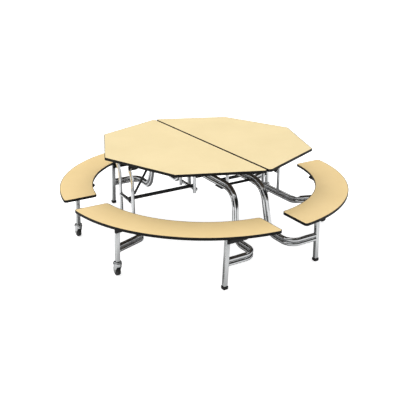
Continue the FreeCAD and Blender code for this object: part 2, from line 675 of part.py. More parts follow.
def caster_fork(name, across, along, trail_sign):
    """A swivel fork with race, stem and axle; the axle trails the swivel axis along Y."""
    body = doc.addObject("PartDesign::Body", f"{name}_cheeks")
    sketch = sketch_on(body, "YZ_Plane", f"{name}_outline")
    crown_top = "(caster_height - race_gap - race_height)"
    crown_low = f"({crown_top} - fork_crown_height)"
    axle_low = "(axle_height - fork_width / 2)"
    corners = (
        ("-caster_trail - fork_width / 2", axle_low),
        ("-caster_trail + fork_width / 2", axle_low),
        ("race_diameter / 2", crown_low),
        ("race_diameter / 2", crown_top),
        ("-race_diameter / 2 - caster_trail / 2", crown_top),
        ("-race_diameter / 2 - caster_trail / 2", crown_low),
    )
    polygon(sketch, corners)
    width = "(wheel_width + 2 * fork_gap + 2 * fork_sheet)"
    plate = pad(body, sketch, f"{name}_plate", width, midplane=True)
    doc.recompute()
    slot = sketch_on(body, "XZ_Plane", f"{name}_slot_outline")
    half_slot = "(wheel_width / 2 + fork_gap)"
    corners = ((f"-{half_slot}", "0"), (half_slot, "0"), (half_slot, crown_low), (f"-{half_slot}", crown_low))
    polygon(slot, corners)
    hollow_out(body, slot, f"{name}_slot", "4 * race_diameter", plate)
    place(body, across, along, "0", turned=trail_sign > 0)
    race_centre = (across, along, f"{crown_top} + race_height / 2")
    race = rod(f"{name}_race", "Z", race_centre, "race_diameter / 2", "race_height")
    stem_centre = (across, along, f"{crown_top} + (race_height + race_gap + stem_length) / 2")
    stem = rod(f"{name}_stem", "Z", stem_centre, "stem_diameter / 2", "race_height + race_gap + stem_length")
    axle_centre = (across, f"{along} + {trail_sign} * caster_trail", "axle_height")
    axle = rod(f"{name}_axle", "X", axle_centre, "axle_diameter / 2", f"{width} + 2 * fork_sheet")
    keep(f"{name}_fork", fuse(f"{name}_fork", [body, race, stem, axle]))


def caster_wheel(name, across, along, trail_sign):
    """A wheel turned from its half-section, with a hollow in each face and a rounded tread."""
    body = doc.addObject("PartDesign::Body", f"{name}_turned")
    sketch = sketch_on(body, "XZ_Plane", f"{name}_section")
    half = "wheel_width / 2"
    dish = "(wheel_width / 2 - wheel_dish)"
    bore = "axle_diameter / 2 + running_clearance"
    rim = "(wheel_diameter / 2 - wheel_rim_width)"
    right_side = (
        (half, bore),
        (half, "hub_diameter / 2"),
        (dish, "hub_diameter / 2 + wheel_dish"),
        (dish, f"{rim} - wheel_dish"),
        (half, rim),
        (half, "wheel_diameter / 2"),
    )
    left_side = tuple((f"-{across_wheel}", height) for across_wheel, height in reversed(right_side))
    polygon(sketch, right_side + left_side)
    turned = body.newObject("PartDesign::Revolution", f"{name}_turning")
    turned.Profile = sketch
    turned.ReferenceAxis = (sketch, ["H_Axis"])
    turned.Angle = 360
    doc.recompute()
    tread = [
        f"Edge{index}"
        for index, edge in enumerate(turned.Shape.Edges, 1)
        if isinstance(edge.Curve, Part.Circle) and abs(edge.Curve.Radius - size("wheel_diameter") / 2) < 1e-3
    ]
    round_edges(body, turned, f"{name}_tread", tread, "wheel_edge_radius")
    place(body, across, f"{along} + {trail_sign} * caster_trail", "axle_height")
    keep(f"{name}_wheel", body)


for side, sign in SIDES.items():
    for end, end_sign in ENDS.items():
        glide_leg(f"glide_{end}_{side}", sign, f"{end_sign} * glide_leg_reach")
        caster_along = f"{end_sign} * caster_leg_reach"
        caster_leg(f"caster_{end}_{side}", sign, caster_along)
        trail_sign = -1 if (end, side) == ("front", "right") else 1
        for make in (caster_fork, caster_wheel):
            make(f"caster_{end}_{side}", f"{sign} * caster_line", caster_along, trail_sign)


# ---------------------------------------------------------------- outer frames


def pair(points_of, radii_of):
    """Two tubes side by side; both arguments give a tube's path for its offset from the middle."""
    half = size("pair_spacing") / 2
    return [
        tube_along(points_of(offset), radii_of(offset), size("tube_diameter"), size("tube_wall"))
        for offset in (-half, half)
    ]


def ended_at_legs(tubes, leg_kind, side):
    """The same tubes, cut off at the faces of the two legs of a kind on one side."""
    faces = [leg_faces[f"{leg_kind}_{end}_{side}_leg"].Shape for end in ENDS]
    return [tube.cut(faces) for tube in tubes]


def stretcher_points(sign):
    """Path of a stretcher's tubes from one caster leg to the other, for a height offset."""
    line = sign * size("stretcher_line")
    in_leg = sign * size("caster_leg_setback")
    reach, corner = size("caster_leg_reach"), size("stretcher_corner_reach")
    plan = ((in_leg, -reach), (line, -corner), (line, corner), (in_leg, reach))
    height = size("stretcher_height")
    return lambda offset: [FreeCAD.Vector(x, y, height + offset) for x, y in plan]


def outer_upright(sign, end_sign, foot):
    """An upright that stands on its stretcher and steps out to the table pivot."""
    along = end_sign * size("upright_spread")
    low_line, high_line = sign * size("outer_crossbar"), sign * size("outer_pivot")
    top = size("top_pivot_height") + size("upright_diameter") / 2
    points = [
        FreeCAD.Vector(low_line, along, size("stretcher_height")),
        FreeCAD.Vector(low_line, along, size("jog_low")),
        FreeCAD.Vector(high_line, along, size("jog_high")),
        FreeCAD.Vector(high_line, along, top),
    ]
    bends = [size("jog_radius")] * 2
    tube = tube_along(points, bends, size("upright_diameter"), size("upright_wall"))
    hole_start = FreeCAD.Vector(high_line, along - size("upright_diameter"), size("top_pivot_height"))
    along_y = FreeCAD.Vector(0, 1, 0)
    hole = Part.makeCylinder(size("pin_hole_radius"), 2 * size("upright_diameter"), hole_start, along_y)
    return tube.cut(foot).cut(hole)


def crossbar_bore(name, across, length):
    """The bore of a crossbar tube."""
    centre = (across, "0", "crossbar_height")
    return rod(name, "Y", centre, "upright_diameter / 2 - upright_wall", length)


for side, sign in SIDES.items():
    points_of = stretcher_points(sign)
    bends = [size("stretcher_bend_radius")] * 2
    tubes = ended_at_legs(pair(points_of, lambda offset: bends), "caster", side)
    keep(f"stretcher_{side}", shaped(f"stretcher_{side}", Part.makeCompound(tubes)))
    upper_height = size("pair_spacing") / 2
    upper_bar = bar_along(points_of(upper_height), bends, size("tube_diameter") / 2)
    breadth, length = size("link_span"), 4 * size("caster_leg_reach")
    under_corner = FreeCAD.Vector(sign * size("stretcher_line") - breadth / 2, -length / 2, 0)
    under_bar = Part.makeBox(breadth, length, size("stretcher_height") + upper_height, under_corner)
    foot = upper_bar.fuse(under_bar)
    uprights = [outer_upright(sign, end_sign, foot) for end_sign in ENDS.values()]
    keep(f"outer_uprights_{side}", shaped(f"outer_uprights_{side}", Part.makeCompound(uprights)))

    line = f"{sign} * outer_crossbar"
    centre = (line, "0", "crossbar_height")
    bar = rod(f"outer_bar_{side}", "Y", centre, "upright_diameter / 2", "2 * upright_spread")
    lug_reach = "(strut_foot_inset + strut_lug_width / 2)"
    lug_rise = "(strut_foot_rise + strut_lug_width / 2)"
    lug_centre = (f"{line} - {sign} * {lug_reach} / 2", strut_lug_y(), f"crossbar_height + {lug_rise} / 2")
    lug = block(f"strut_lug_{side}", lug_centre, (lug_reach, "strut_lug_thickness", lug_rise))
    stud = strut_stud(f"strut_foot_{side}", f"{sign} * strut_foot", "strut_foot_height")
    solid = fuse(f"outer_bar_with_lug_{side}", [bar, lug] + stud)
    beside = [
        rod(f"outer_seat_{end}_{side}", "Z", (line, f"{end_sign} * upright_spread", "crossbar_height"),
            "upright_diameter / 2", "2 * upright_diameter")
        for end, end_sign in ENDS.items()
    ]
    hollow = crossbar_bore(f"outer_bore_{side}", line, "2 * upright_spread")
    keep(f"outer_crossbar_{side}", cut(f"outer_crossbar_{side}", solid, beside + [hollow]))


# ---------------------------------------------------------------- centre frame


def arch_points(sign):
    """Path of an arch's tubes from one glide leg to the other, for an offset towards its outside."""
    top_line, foot_line = sign * size("arch_half_spacing"), sign * size("arch_foot_half_spacing")
    in_leg = sign * size("glide_leg_setback")
    reach = size("glide_leg_reach")
    top_y, low_y = size("arch_top_corner"), size("arch_low_corner")
    top_z, low_z = size("arch_run_height"), size("arch_low_height")
    lean = math.atan2(low_y - top_y, top_z - low_z)
    outward = math.tan((math.pi / 2 - lean) / 2)

    def points(offset):
        shift = offset * outward
        front = [
            FreeCAD.Vector(in_leg, -reach, low_z + offset),
            FreeCAD.Vector(foot_line, -reach, low_z + offset),
            FreeCAD.Vector(foot_line, -low_y - shift, low_z + offset),
            FreeCAD.Vector(top_line, -top_y - shift, top_z + offset),
        ]
        back = [FreeCAD.Vector(point.x, -point.y, point.z) for point in reversed(front)]
        return front + back

    return points


def arch_radii(offset):
    """Bend radii along an arch: the low bends close in where the top bends open."""
    plan, top, low = size("plan_bend_radius"), size("arch_top_bend"), size("arch_low_bend")
    return [plan, low - offset, top + offset, top + offset, low - offset, plan]


for side, sign in SIDES.items():
    tubes = ended_at_legs(pair(arch_points(sign), arch_radii), "glide", side)
    keep(f"arch_{side}", shaped(f"arch_{side}", Part.makeCompound(tubes)))

    uprights = []
    for end, end_sign in ENDS.items():
        low = "(crossbar_height - inner_upright_tail)"
        height = f"(top_pivot_height + upright_diameter / 2 - {low})"
        place_of = (f"{sign} * inner_pivot", f"{end_sign} * upright_spread")
        name = f"inner_upright_{end}_{side}"
        centre = (*place_of, f"{low} + {height} / 2")
        outside = rod(f"{name}_blank", "Z", centre, "upright_diameter / 2", height)
        bore = rod(f"{name}_bore", "Z", centre, "upright_diameter / 2 - upright_wall", height)
        pin_centre = (*place_of, "top_pivot_height")
        hole = rod(f"{name}_hole", "Y", pin_centre, "pin_hole_radius", "2 * upright_diameter")
        uprights.append(cut(name, outside, [bore, hole]))
    keep(f"inner_uprights_{side}", together(f"inner_uprights_{side}", uprights))

    line = f"{sign} * inner_crossbar"
    length = "(2 * upright_spread - 2 * inner_crossbar_inset)"
    bar = rod(f"inner_bar_{side}", "Y", (line, "0", "crossbar_height"), "upright_diameter / 2", length)
    beside = []
    for end, end_sign in ENDS.items():
        centre = (f"{sign} * inner_pivot", f"{end_sign} * upright_spread", "crossbar_height")
        name = f"inner_seat_{end}_{side}"
        beside.append(rod(name, "Z", centre, "upright_diameter / 2 + weld_gap", "2 * upright_diameter"))
    hollow = crossbar_bore(f"inner_bore_{side}", line, length)
    keep(f"inner_crossbar_{side}", cut(f"inner_crossbar_{side}", bar, beside + [hollow]))

cross_tubes = []
cross_channels = []
arch_pads = []
for end, end_sign in ENDS.items():
    length = "(2 * arch_half_spacing - tube_diameter - 2 * weld_gap)"
    centre = ("0", f"{end_sign} * cross_tube_reach", "arch_run_height - pair_spacing / 2")
    outside = rod(f"cross_tube_{end}_blank", "X", centre, "cross_tube_diameter / 2", length)
    bore = rod(f"cross_tube_{end}_bore", "X", centre, "cross_tube_diameter / 2 - upright_wall", length)
    cross_tubes.append(cut(f"cross_tube_{end}", outside, [bore]))
    under_arch = "(arch_run_height - pair_spacing / 2 - tube_diameter / 2 - weld_gap)"
    side_length = "cross_channel_side"
    channel_length = "(2 * inner_pivot - upright_diameter - 2 * weld_gap)"
    centre = ("0", f"{end_sign} * upright_spread", f"{under_arch} - {side_length} / 2")
    outside = block(f"cross_channel_{end}_blank", centre, (channel_length, side_length, side_length))
    inside = f"({side_length} - 2 * upright_wall)"
    bore = block(f"cross_channel_{end}_bore", centre, (channel_length, inside, inside))
    cross_channels.append(cut(f"cross_channel_{end}", outside, [bore]))
    pad_height = f"{under_arch} - arch_pad_depth / 2"
    centre = (f"{end_sign} * arch_half_spacing", f"{end_sign} * arch_pad_reach", pad_height)
    extent = ("arch_pad_width", "arch_pad_length", "arch_pad_depth")
    arch_pads.append(block(f"arch_pad_{end}", centre, extent))
keep("cross_tubes", together("cross_tubes", cross_tubes))
keep("cross_channels", together("cross_channels", cross_channels))
keep("arch_pads", together("arch_pads", arch_pads))


# ---------------------------------------------------------------- links and lift struts


for side, sign in SIDES.items():
    sleeve_radius = "(upright_diameter / 2 + running_clearance + link_sleeve_wall)"
    bar_height = f"(crossbar_height + {sleeve_radius} - link_bar_sink + link_bar_depth / 2)"
    along = "-link_bar_offset"
    middle = f"{sign} * (outer_crossbar + inner_crossbar) / 2"
    length = f"(link_span + 2 * {sleeve_radius})"
    extent = (length, "link_bar_width", "link_bar_depth")
    parts = [block(f"link_bar_{side}", (middle, along, bar_height), extent)]
    bores = []
    for place_name, clearance in (("outer", "running_clearance"), ("inner", "loop_clearance")):
        centre = (f"{sign} * {place_name}_crossbar", along, "crossbar_height")
        name = f"link_{place_name}_{side}"
        parts.append(rod(f"{name}_sleeve", "Y", centre, sleeve_radius, "link_sleeve_length"))
        bore_radius = f"upright_diameter / 2 + {clearance}"
        bores.append(rod(f"{name}_bore", "Y", centre, bore_radius, "2 * link_sleeve_length"))
    keep(f"link_{side}", cut(f"link_{side}", fuse(f"link_{side}_blank", parts), bores))

    run = "(outer_crossbar - strut_foot_inset - strut_head)"
    tilt = f"{-sign} * atan2({run}; strut_head_height - strut_foot_height)"
    lower = rod(f"strut_rod_{side}_shank", "Z", ("0", "0", "strut_rod_length / 2 + strut_pin_diameter / 2"),
                "strut_rod_diameter / 2", "strut_rod_length - strut_pin_diameter")
    upper = rod(f"strut_cylinder_{side}_case", "Z", ("0", "0", "-strut_eye_gap - strut_cylinder_length / 2"),
                "strut_bore_diameter / 2 + strut_cylinder_wall", "strut_cylinder_length")
    neck = rod(f"strut_cylinder_{side}_neck", "Z", ("0", "0", "-strut_pin_diameter / 2 - strut_eye_gap / 2"),
               "strut_pin_diameter / 2", "strut_eye_gap")
    case_bore = rod(f"strut_cylinder_{side}_bore", "Z",
                    ("0", "0", "-strut_eye_gap - strut_eye_thickness - strut_cylinder_length / 2"),
                    "strut_bore_diameter / 2", "strut_cylinder_length")
    for name, members, hollows, foot_x, foot_z in (
        (f"strut_rod_{side}", [lower], [], "strut_foot", "strut_foot_height"),
        (f"strut_cylinder_{side}", [upper, neck], [case_bore], "strut_head", "strut_head_height"),
    ):
        eye = rod(f"{name}_eye", "Y", ("0", "0", "0"), "strut_eye_diameter / 2", "strut_eye_thickness")
        hole = rod(f"{name}_hole", "Y", ("0", "0", "0"), "strut_pin_diameter / 2 + running_clearance",
                   "2 * strut_eye_thickness")
        piece = cut(name, fuse(f"{name}_blank", members + [eye]), hollows + [hole])
        piece.Placement = FreeCAD.Placement(FreeCAD.Vector(), FreeCAD.Rotation(FreeCAD.Vector(0, 1, 0), 1))
        piece.setExpression("Placement.Rotation.Angle", cell(tilt))
        for axis, expression in zip("xyz", (f"{sign} * {foot_x}", "-strut_offset", foot_z)):
            piece.setExpression(f"Placement.Base.{axis}", cell(expression))
        keep(name, piece)


# ---------------------------------------------------------------- check and write

doc.recompute()
for thing in doc.Objects:
    if "Invalid" in thing.State or "Error" in thing.State:
        raise RuntimeError(f"{thing.Name} failed: {thing.State} {thing.getStatusString()}")
os.makedirs("parts", exist_ok=True)
for name, thing in nodes.items():
    shape = thing.Shape
    if shape.isNull() or not shape.isValid() or not shape.Solids:
        raise RuntimeError(f"{name} has no valid solid")
for name, thing in nodes.items():
    thing.Shape.exportStep(f"parts/{name}.step")
print(f"{len(nodes)} sub-parts written")
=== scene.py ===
import math

import bmesh
import bpy
from mathutils import Matrix, Vector


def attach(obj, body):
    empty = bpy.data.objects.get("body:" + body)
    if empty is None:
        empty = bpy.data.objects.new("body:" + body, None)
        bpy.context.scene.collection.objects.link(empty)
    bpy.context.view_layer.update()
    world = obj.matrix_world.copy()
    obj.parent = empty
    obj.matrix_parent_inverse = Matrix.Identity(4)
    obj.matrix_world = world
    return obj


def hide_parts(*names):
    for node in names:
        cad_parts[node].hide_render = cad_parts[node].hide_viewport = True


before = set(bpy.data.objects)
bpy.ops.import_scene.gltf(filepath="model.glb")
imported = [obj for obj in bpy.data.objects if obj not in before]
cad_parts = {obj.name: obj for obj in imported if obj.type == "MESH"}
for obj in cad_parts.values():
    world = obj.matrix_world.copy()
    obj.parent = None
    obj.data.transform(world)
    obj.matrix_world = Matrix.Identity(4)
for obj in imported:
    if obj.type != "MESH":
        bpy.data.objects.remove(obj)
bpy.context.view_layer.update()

SIDES = {"left": -1, "right": 1}
ENDS = {"front": -1, "back": 1}
SEATS = [(end, side) for side in SIDES for end in ENDS]


# ---------------------------------------------------------------- studio
# A plain pale floor, a very large soft lamp overhead and a weaker one at the left. Polished metal
# mirrors dark walls below a bright ceiling, and a grey patch where the floor lies in shade.

camera_data = bpy.data.cameras.new("camera")
camera_data.sensor_width = 36
camera_data.lens = 53.16
camera_data.clip_end = 200
camera = bpy.data.objects.new("camera", camera_data)
across = Vector((0.85300, -0.52190, 0.00233))
up = Vector((0.18942, 0.31373, 0.93043))
back = Vector((-0.48632, -0.79321, 0.36647))
stand = Matrix.Translation((-2.3301, -3.7420, 1.9843))
camera.matrix_world = stand @ Matrix((across, up, back)).transposed().to_4x4()
bpy.context.scene.collection.objects.link(camera)
bpy.context.scene.camera = camera
bpy.context.scene.view_settings.view_transform = "Standard"

world = bpy.data.worlds.new("white_surround")
world.use_nodes = True
bpy.context.scene.world = world
nodes, links = world.node_tree.nodes, world.node_tree.links
nodes.clear()
seen = nodes.new("ShaderNodeBackground")
seen.inputs["Color"].default_value = (1, 1, 1, 1)
lighting = nodes.new("ShaderNodeBackground")
lighting.inputs["Color"].default_value = (0.98, 0.99, 1, 1)
lighting.inputs["Strength"].default_value = 0.86
mirrored = nodes.new("ShaderNodeBackground")
rays = nodes.new("ShaderNodeLightPath")
heading = nodes.new("ShaderNodeTexCoord")
height = nodes.new("ShaderNodeSeparateXYZ")
walls = nodes.new("ShaderNodeValToRGB")
walls.color_ramp.elements[0].position = 0.0
walls.color_ramp.elements[0].color = (0.10, 0.10, 0.10, 1)
walls.color_ramp.elements[1].position = 0.80
walls.color_ramp.elements[1].color = (1, 1, 1, 1)
for position, shade in ((0.06, 0.012), (0.60, 0.016), (0.70, 0.35)):
    walls.color_ramp.elements.new(position).color = (shade, shade, shade, 1)
links.new(heading.outputs["Generated"], height.inputs[0])
links.new(height.outputs["Z"], walls.inputs["Fac"])
links.new(walls.outputs["Color"], mirrored.inputs["Color"])
plain = nodes.new("ShaderNodeMixShader")
links.new(rays.outputs["Is Camera Ray"], plain.inputs[0])
links.new(lighting.outputs[0], plain.inputs[1])
links.new(seen.outputs[0], plain.inputs[2])
which = nodes.new("ShaderNodeMixShader")
links.new(rays.outputs["Is Glossy Ray"], which.inputs[0])
links.new(plain.outputs[0], which.inputs[1])
links.new(mirrored.outputs[0], which.inputs[2])
world_output = nodes.new("ShaderNodeOutputWorld")
links.new(which.outputs[0], world_output.inputs["Surface"])


def soft_lamp(name, place, aim, size, power):
    """A square area lamp that faces a point."""
    data = bpy.data.lights.new(name, "AREA")
    data.shape = "SQUARE"
    data.size = size
    data.energy = power
    lamp = bpy.data.objects.new(name, data)
    lamp.location = place
    lamp.rotation_mode = "QUATERNION"
    lamp.rotation_quaternion = (Vector(aim) - Vector(place)).to_track_quat("-Z", "Y")
    bpy.context.scene.collection.objects.link(lamp)


soft_lamp("key_lamp", (0.9, 1.7, 5.0), (0, 0, 0.5), 5.4, 142)
soft_lamp("side_lamp", (-4.6, -0.4, 3.0), (0, 0, 0.5), 2.6, 30)

floor_mesh = bpy.data.meshes.new("floor")
floor_form = bmesh.new()
bmesh.ops.create_circle(floor_form, cap_ends=True, segments=96, radius=70)
floor_form.to_mesh(floor_mesh)
floor = bpy.data.objects.new("floor", floor_mesh)
floor.location.z = -0.0006
bpy.context.scene.collection.objects.link(floor)
paper = bpy.data.materials.new("pale_paper")
paper.use_nodes = True
nodes, links = paper.node_tree.nodes, paper.node_tree.links
matte = nodes["Principled BSDF"]
matte.inputs["Base Color"].default_value = (0.80, 0.80, 0.80, 1)
matte.inputs["Roughness"].default_value = 0.9
matte.inputs["Specular IOR Level"].default_value = 0.1
rays = nodes.new("ShaderNodeLightPath")
mirror_part = nodes.new("ShaderNodeMath")
mirror_part.operation = "MULTIPLY"
mirror_part.inputs[1].default_value = 0.16
links.new(rays.outputs["Is Glossy Ray"], mirror_part.inputs[0])
lift = nodes.new("ShaderNodeMath")
lift.operation = "MULTIPLY_ADD"
lift.inputs[1].default_value = 0.72
links.new(rays.outputs["Is Camera Ray"], lift.inputs[0])
links.new(mirror_part.outputs[0], lift.inputs[2])
glow = nodes.new("ShaderNodeEmission")
links.new(lift.outputs[0], glow.inputs["Strength"])
both = nodes.new("ShaderNodeAddShader")
links.new(matte.outputs[0], both.inputs[0])
links.new(glow.outputs[0], both.inputs[1])
links.new(both.outputs[0], nodes["Material Output"].inputs["Surface"])
floor_mesh.materials.append(paper)

SHADE_RADIUS, SHADE_HEIGHT, SHADE_CORNERS = 0.95, 0.0004, 64
turns = [2 * math.pi * corner / SHADE_CORNERS for corner in range(SHADE_CORNERS)]
shade_mesh = bpy.data.meshes.new("shaded_floor")
shade_mesh.from_pydata([
    (SHADE_RADIUS * math.cos(turn), SHADE_RADIUS * math.sin(turn), SHADE_HEIGHT) for turn in turns
], [], [tuple(range(SHADE_CORNERS))])
shade_grey = bpy.data.materials.new("shade_grey")
shade_grey.use_nodes = True
shade_shader = shade_grey.node_tree.nodes["Principled BSDF"]
shade_shader.inputs["Base Color"].default_value = (0.02, 0.02, 0.02, 1)
shade_shader.inputs["Roughness"].default_value = 1.0
shade_shader.inputs["Emission Color"].default_value = (1, 1, 1, 1)
shade_shader.inputs["Emission Strength"].default_value = 0.16
shade_mesh.materials.append(shade_grey)
shade = bpy.data.objects.new("shaded_floor", shade_mesh)
for kind in ("camera", "diffuse", "transmission", "volume_scatter", "shadow"):
    setattr(shade, f"visible_{kind}", False)
bpy.context.scene.collection.objects.link(shade)


# ---------------------------------------------------------------- table boards
# Two halves of an octagonal particle board, 19 mm thick with cream high-pressure laminate on top
# and a dark backer sheet below, trimmed square and eased where they meet the edge band.


def finish(name, dark, light, mottle, roughness, relief, metallic=0.0, stretch=(1, 1, 1), **sockets):
    """A surface whose colour, gloss and relief vary with noise on the piece's own place; mottle is
    the size of a patch in metres and relief its (size, height)."""
    material = bpy.data.materials.new(name)
    material.use_nodes = True
    nodes, links = material.node_tree.nodes, material.node_tree.links
    shader = nodes["Principled BSDF"]
    shader.inputs["Metallic"].default_value = metallic
    for socket, value in sockets.items():
        shader.inputs[socket.replace("_", " ")].default_value = value
    place = nodes.new("ShaderNodeTexCoord")
    grain = nodes.new("ShaderNodeMapping")
    grain.inputs["Scale"].default_value = stretch
    links.new(place.outputs["Object"], grain.inputs["Vector"])
    patches = nodes.new("ShaderNodeTexNoise")
    patches.inputs["Scale"].default_value = 1 / mottle
    patches.inputs["Detail"].default_value = 5
    patches.inputs["Roughness"].default_value = 0.6
    links.new(grain.outputs[0], patches.inputs["Vector"])
    tint = nodes.new("ShaderNodeValToRGB")
    tint.name = "tint"
    tint.color_ramp.elements[0].position = 0.3
    tint.color_ramp.elements[0].color = (*dark, 1)
    tint.color_ramp.elements[1].position = 0.7
    tint.color_ramp.elements[1].color = (*light, 1)
    links.new(patches.outputs["Fac"], tint.inputs["Fac"])
    links.new(tint.outputs["Color"], shader.inputs["Base Color"])
    wipe = nodes.new("ShaderNodeTexNoise")
    wipe.inputs["Scale"].default_value = 0.4 / mottle
    wipe.inputs["Detail"].default_value = 3
    links.new(grain.outputs[0], wipe.inputs["Vector"])
    gloss = nodes.new("ShaderNodeMapRange")
    gloss.inputs["From Min"].default_value = 0.3
    gloss.inputs["From Max"].default_value = 0.7
    gloss.inputs["To Min"].default_value = roughness[0]
    gloss.inputs["To Max"].default_value = roughness[1]
    links.new(wipe.outputs["Fac"], gloss.inputs["Value"])
    links.new(gloss.outputs[0], shader.inputs["Roughness"])
    fine = nodes.new("ShaderNodeTexNoise")
    fine.inputs["Scale"].default_value = 1 / relief[0]
    fine.inputs["Detail"].default_value = 3
    links.new(grain.outputs[0], fine.inputs["Vector"])
    bump = nodes.new("ShaderNodeBump")
    bump.inputs["Strength"].default_value = 0.6
    bump.inputs["Distance"].default_value = relief[1]
    links.new(fine.outputs["Fac"], bump.inputs["Height"])
    links.new(bump.outputs[0], shader.inputs["Normal"])
    return material


def speckled(material, size, shade, amount):
    """Adds the sparse darker flecks of a printed laminate to a finish."""
    nodes, links = material.node_tree.nodes, material.node_tree.links
    flecks = nodes.new("ShaderNodeTexVoronoi")
    flecks.inputs["Scale"].default_value = 1 / size
    links.new(nodes["Mapping"].outputs[0], flecks.inputs["Vector"])
    spot = nodes.new("ShaderNodeMapRange")
    spot.inputs["From Min"].default_value = 0.10
    spot.inputs["From Max"].default_value = 0.26
    spot.inputs["To Min"].default_value = amount
    spot.inputs["To Max"].default_value = 0.0
    links.new(flecks.outputs["Distance"], spot.inputs["Value"])
    blend = nodes.new("ShaderNodeMix")
    blend.data_type = "RGBA"
    links.new(spot.outputs[0], blend.inputs["Factor"])
    links.new(nodes["tint"].outputs["Color"], blend.inputs[6])
    blend.inputs[7].default_value = (*shade, 1)
    links.new(blend.outputs[2], nodes["Principled BSDF"].inputs["Base Color"])
    return material


def link_piece(name, mesh, material, smooth_angle=32):
    """Puts a mesh in the scene as a piece, smooth where its faces meet below an angle."""
    mesh.shade_smooth()
    mesh.set_sharp_from_angle(angle=math.radians(smooth_angle))
    piece = bpy.data.objects.new(name, mesh)
    if not mesh.materials:
        mesh.materials.append(material)
    bpy.context.scene.collection.objects.link(piece)
    return piece


def eased(node, name, width, material, segments=2, at_least=40):
    """A copy of a CAD node with its sharp edges rounded."""
    form = bmesh.new()
    form.from_mesh(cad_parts[node].data)
    bmesh.ops.remove_doubles(form, verts=form.verts, dist=2e-5)
    bmesh.ops.dissolve_limit(form, angle_limit=math.radians(0.6), verts=form.verts, edges=form.edges)
    sharp = [
        edge for edge in form.edges
        if len(edge.link_faces) == 2 and edge.calc_face_angle(0) > math.radians(at_least)
    ]
    bmesh.ops.bevel(
        form, geom=sharp, offset=width, segments=segments, profile=0.5, affect="EDGES", clamp_overlap=True,
    )
    bmesh.ops.triangulate(form, faces=[face for face in form.faces if len(face.verts) > 4])
    mesh = bpy.data.meshes.new(name)
    form.to_mesh(mesh)
    form.free()
    piece = link_piece(name, mesh, material)
    level = piece.modifiers.new("flat_faces_first", "WEIGHTED_NORMAL")
    level.keep_sharp = True
    graph = bpy.context.evaluated_depsgraph_get()
    piece.data = bpy.data.meshes.new_from_object(piece.evaluated_get(graph), depsgraph=graph)
    piece.modifiers.remove(level)
    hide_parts(node)
    return piece


laminate = speckled(
    finish(
        "cream_laminate", (0.850, 0.690, 0.385), (0.870, 0.712, 0.405), 0.11, (0.30, 0.38),
        (0.0011, 0.00006), Specular_IOR_Level=0.42,
    ), 0.0042, (0.80, 0.65, 0.33), 0.30,
)
backer = finish(
    "brown_backer_sheet", (0.055, 0.040, 0.028), (0.075, 0.056, 0.040), 0.05, (0.55, 0.65), (0.0016, 0.0002),
)


def lined_below(piece, sheet):
    """Gives the downward faces of a board its backer sheet."""
    piece.data.materials.append(sheet)
    for face in piece.data.polygons:
        if face.normal.z < -0.9:
            face.material_index = 1


for side in SIDES:
    board = eased(f"table_top_{side}", f"table_board_{side}", 0.0007, laminate)
    lined_below(board, backer)
    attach(board, f"top_{side}")


# ---------------------------------------------------------------- edge bands
# Black T-moulding, an extruded vinyl strip hammered into a groove round every board, with a soft
# rounded face and a matt extrusion grain.

band_vinyl = finish(
    "black_edge_vinyl", (0.004, 0.004, 0.004), (0.008, 0.0075, 0.007), 0.03, (0.42, 0.56), (0.0009, 0.00005),
    Specular_IOR_Level=0.16,
)
for side in SIDES:
    band = eased(f"table_top_{side}_edge", f"table_band_{side}", 0.0009, band_vinyl, segments=3)
    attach(band, f"top_{side}")
for end, side in SEATS:
    band = eased(f"bench_{end}_{side}_edge", f"seat_band_{end}_{side}", 0.0011, band_vinyl, segments=3)
    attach(band, f"bench_{end}_{side}")


# ---------------------------------------------------------------- seats
# Four quarter-ring seats of the same board and laminate. Their colour is painted a shade deeper and more
# orange, as painted shade for the light that the table above keeps off them, with the same backer sheet
# below.

# Painted shade: the table's cream laminate, made darker and more orange in colour and flecks, stands in for
# the seats' lower light.
shade_darkened_seat_laminate = speckled(
    finish(
        "shade_darkened_seat_laminate", (0.880, 0.655, 0.318), (0.900, 0.675, 0.334), 0.10, (0.28, 0.37),
        (0.0011, 0.00006), Specular_IOR_Level=0.42,
    ), 0.0042, (0.74, 0.55, 0.26), 0.30,
)
for end, side in SEATS:
    seat = eased(f"bench_{end}_{side}", f"seat_board_{end}_{side}", 0.0007, shade_darkened_seat_laminate)
    lined_below(seat, backer)
    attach(seat, f"bench_{end}_{side}")


# ---------------------------------------------------------------- brackets under the boards
# Pressed steel angles with rounded lower corners, powder coated black and screwed up into the
# boards; each holds a pivot pin with a head at either end.

black_coat = finish(
    "black_powder_coat", (0.006, 0.006, 0.006), (0.012, 0.012, 0.012), 0.02, (0.36, 0.50), (0.0013, 0.00012),
    Specular_IOR_Level=0.3,
)
for side in SIDES:
    plates = eased(f"top_brackets_{side}", f"table_brackets_{side}", 0.0008, black_coat)
    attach(plates, f"top_{side}")
for end, side in SEATS:
    plates = eased(f"bench_brackets_{end}_{side}", f"seat_brackets_{end}_{side}", 0.0009, black_coat)
    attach(plates, f"bench_{end}_{side}")


# ---------------------------------------------------------------- chromed tube frames
# Round steel tube, 32 mm for the runs and 25 mm for uprights and crossbars, bent, welded and
# then bright chrome plated, so that polished bends and welds share one finish.

chrome = finish(
    "bright_chrome", (0.68, 0.69, 0.695), (0.74, 0.745, 0.75), 0.08, (0.06, 0.12), (0.006, 0.00003),
    metallic=1.0,
)


def coat(node, material):
    """Gives a CAD node that keeps its shape a material."""
    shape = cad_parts[node]
    shape.data.materials.clear()
    shape.data.materials.append(material)


for side in SIDES:
    for node in ("stretcher", "outer_uprights", "outer_crossbar", "arch", "inner_uprights", "inner_crossbar"):
        coat(f"{node}_{side}", chrome)


# ---------------------------------------------------------------- weld beads
# Every joint of the plated frames is a fillet weld, laid by hand before plating: a narrow raised
# bead, slightly rippled, that follows the line where one tube meets the next.


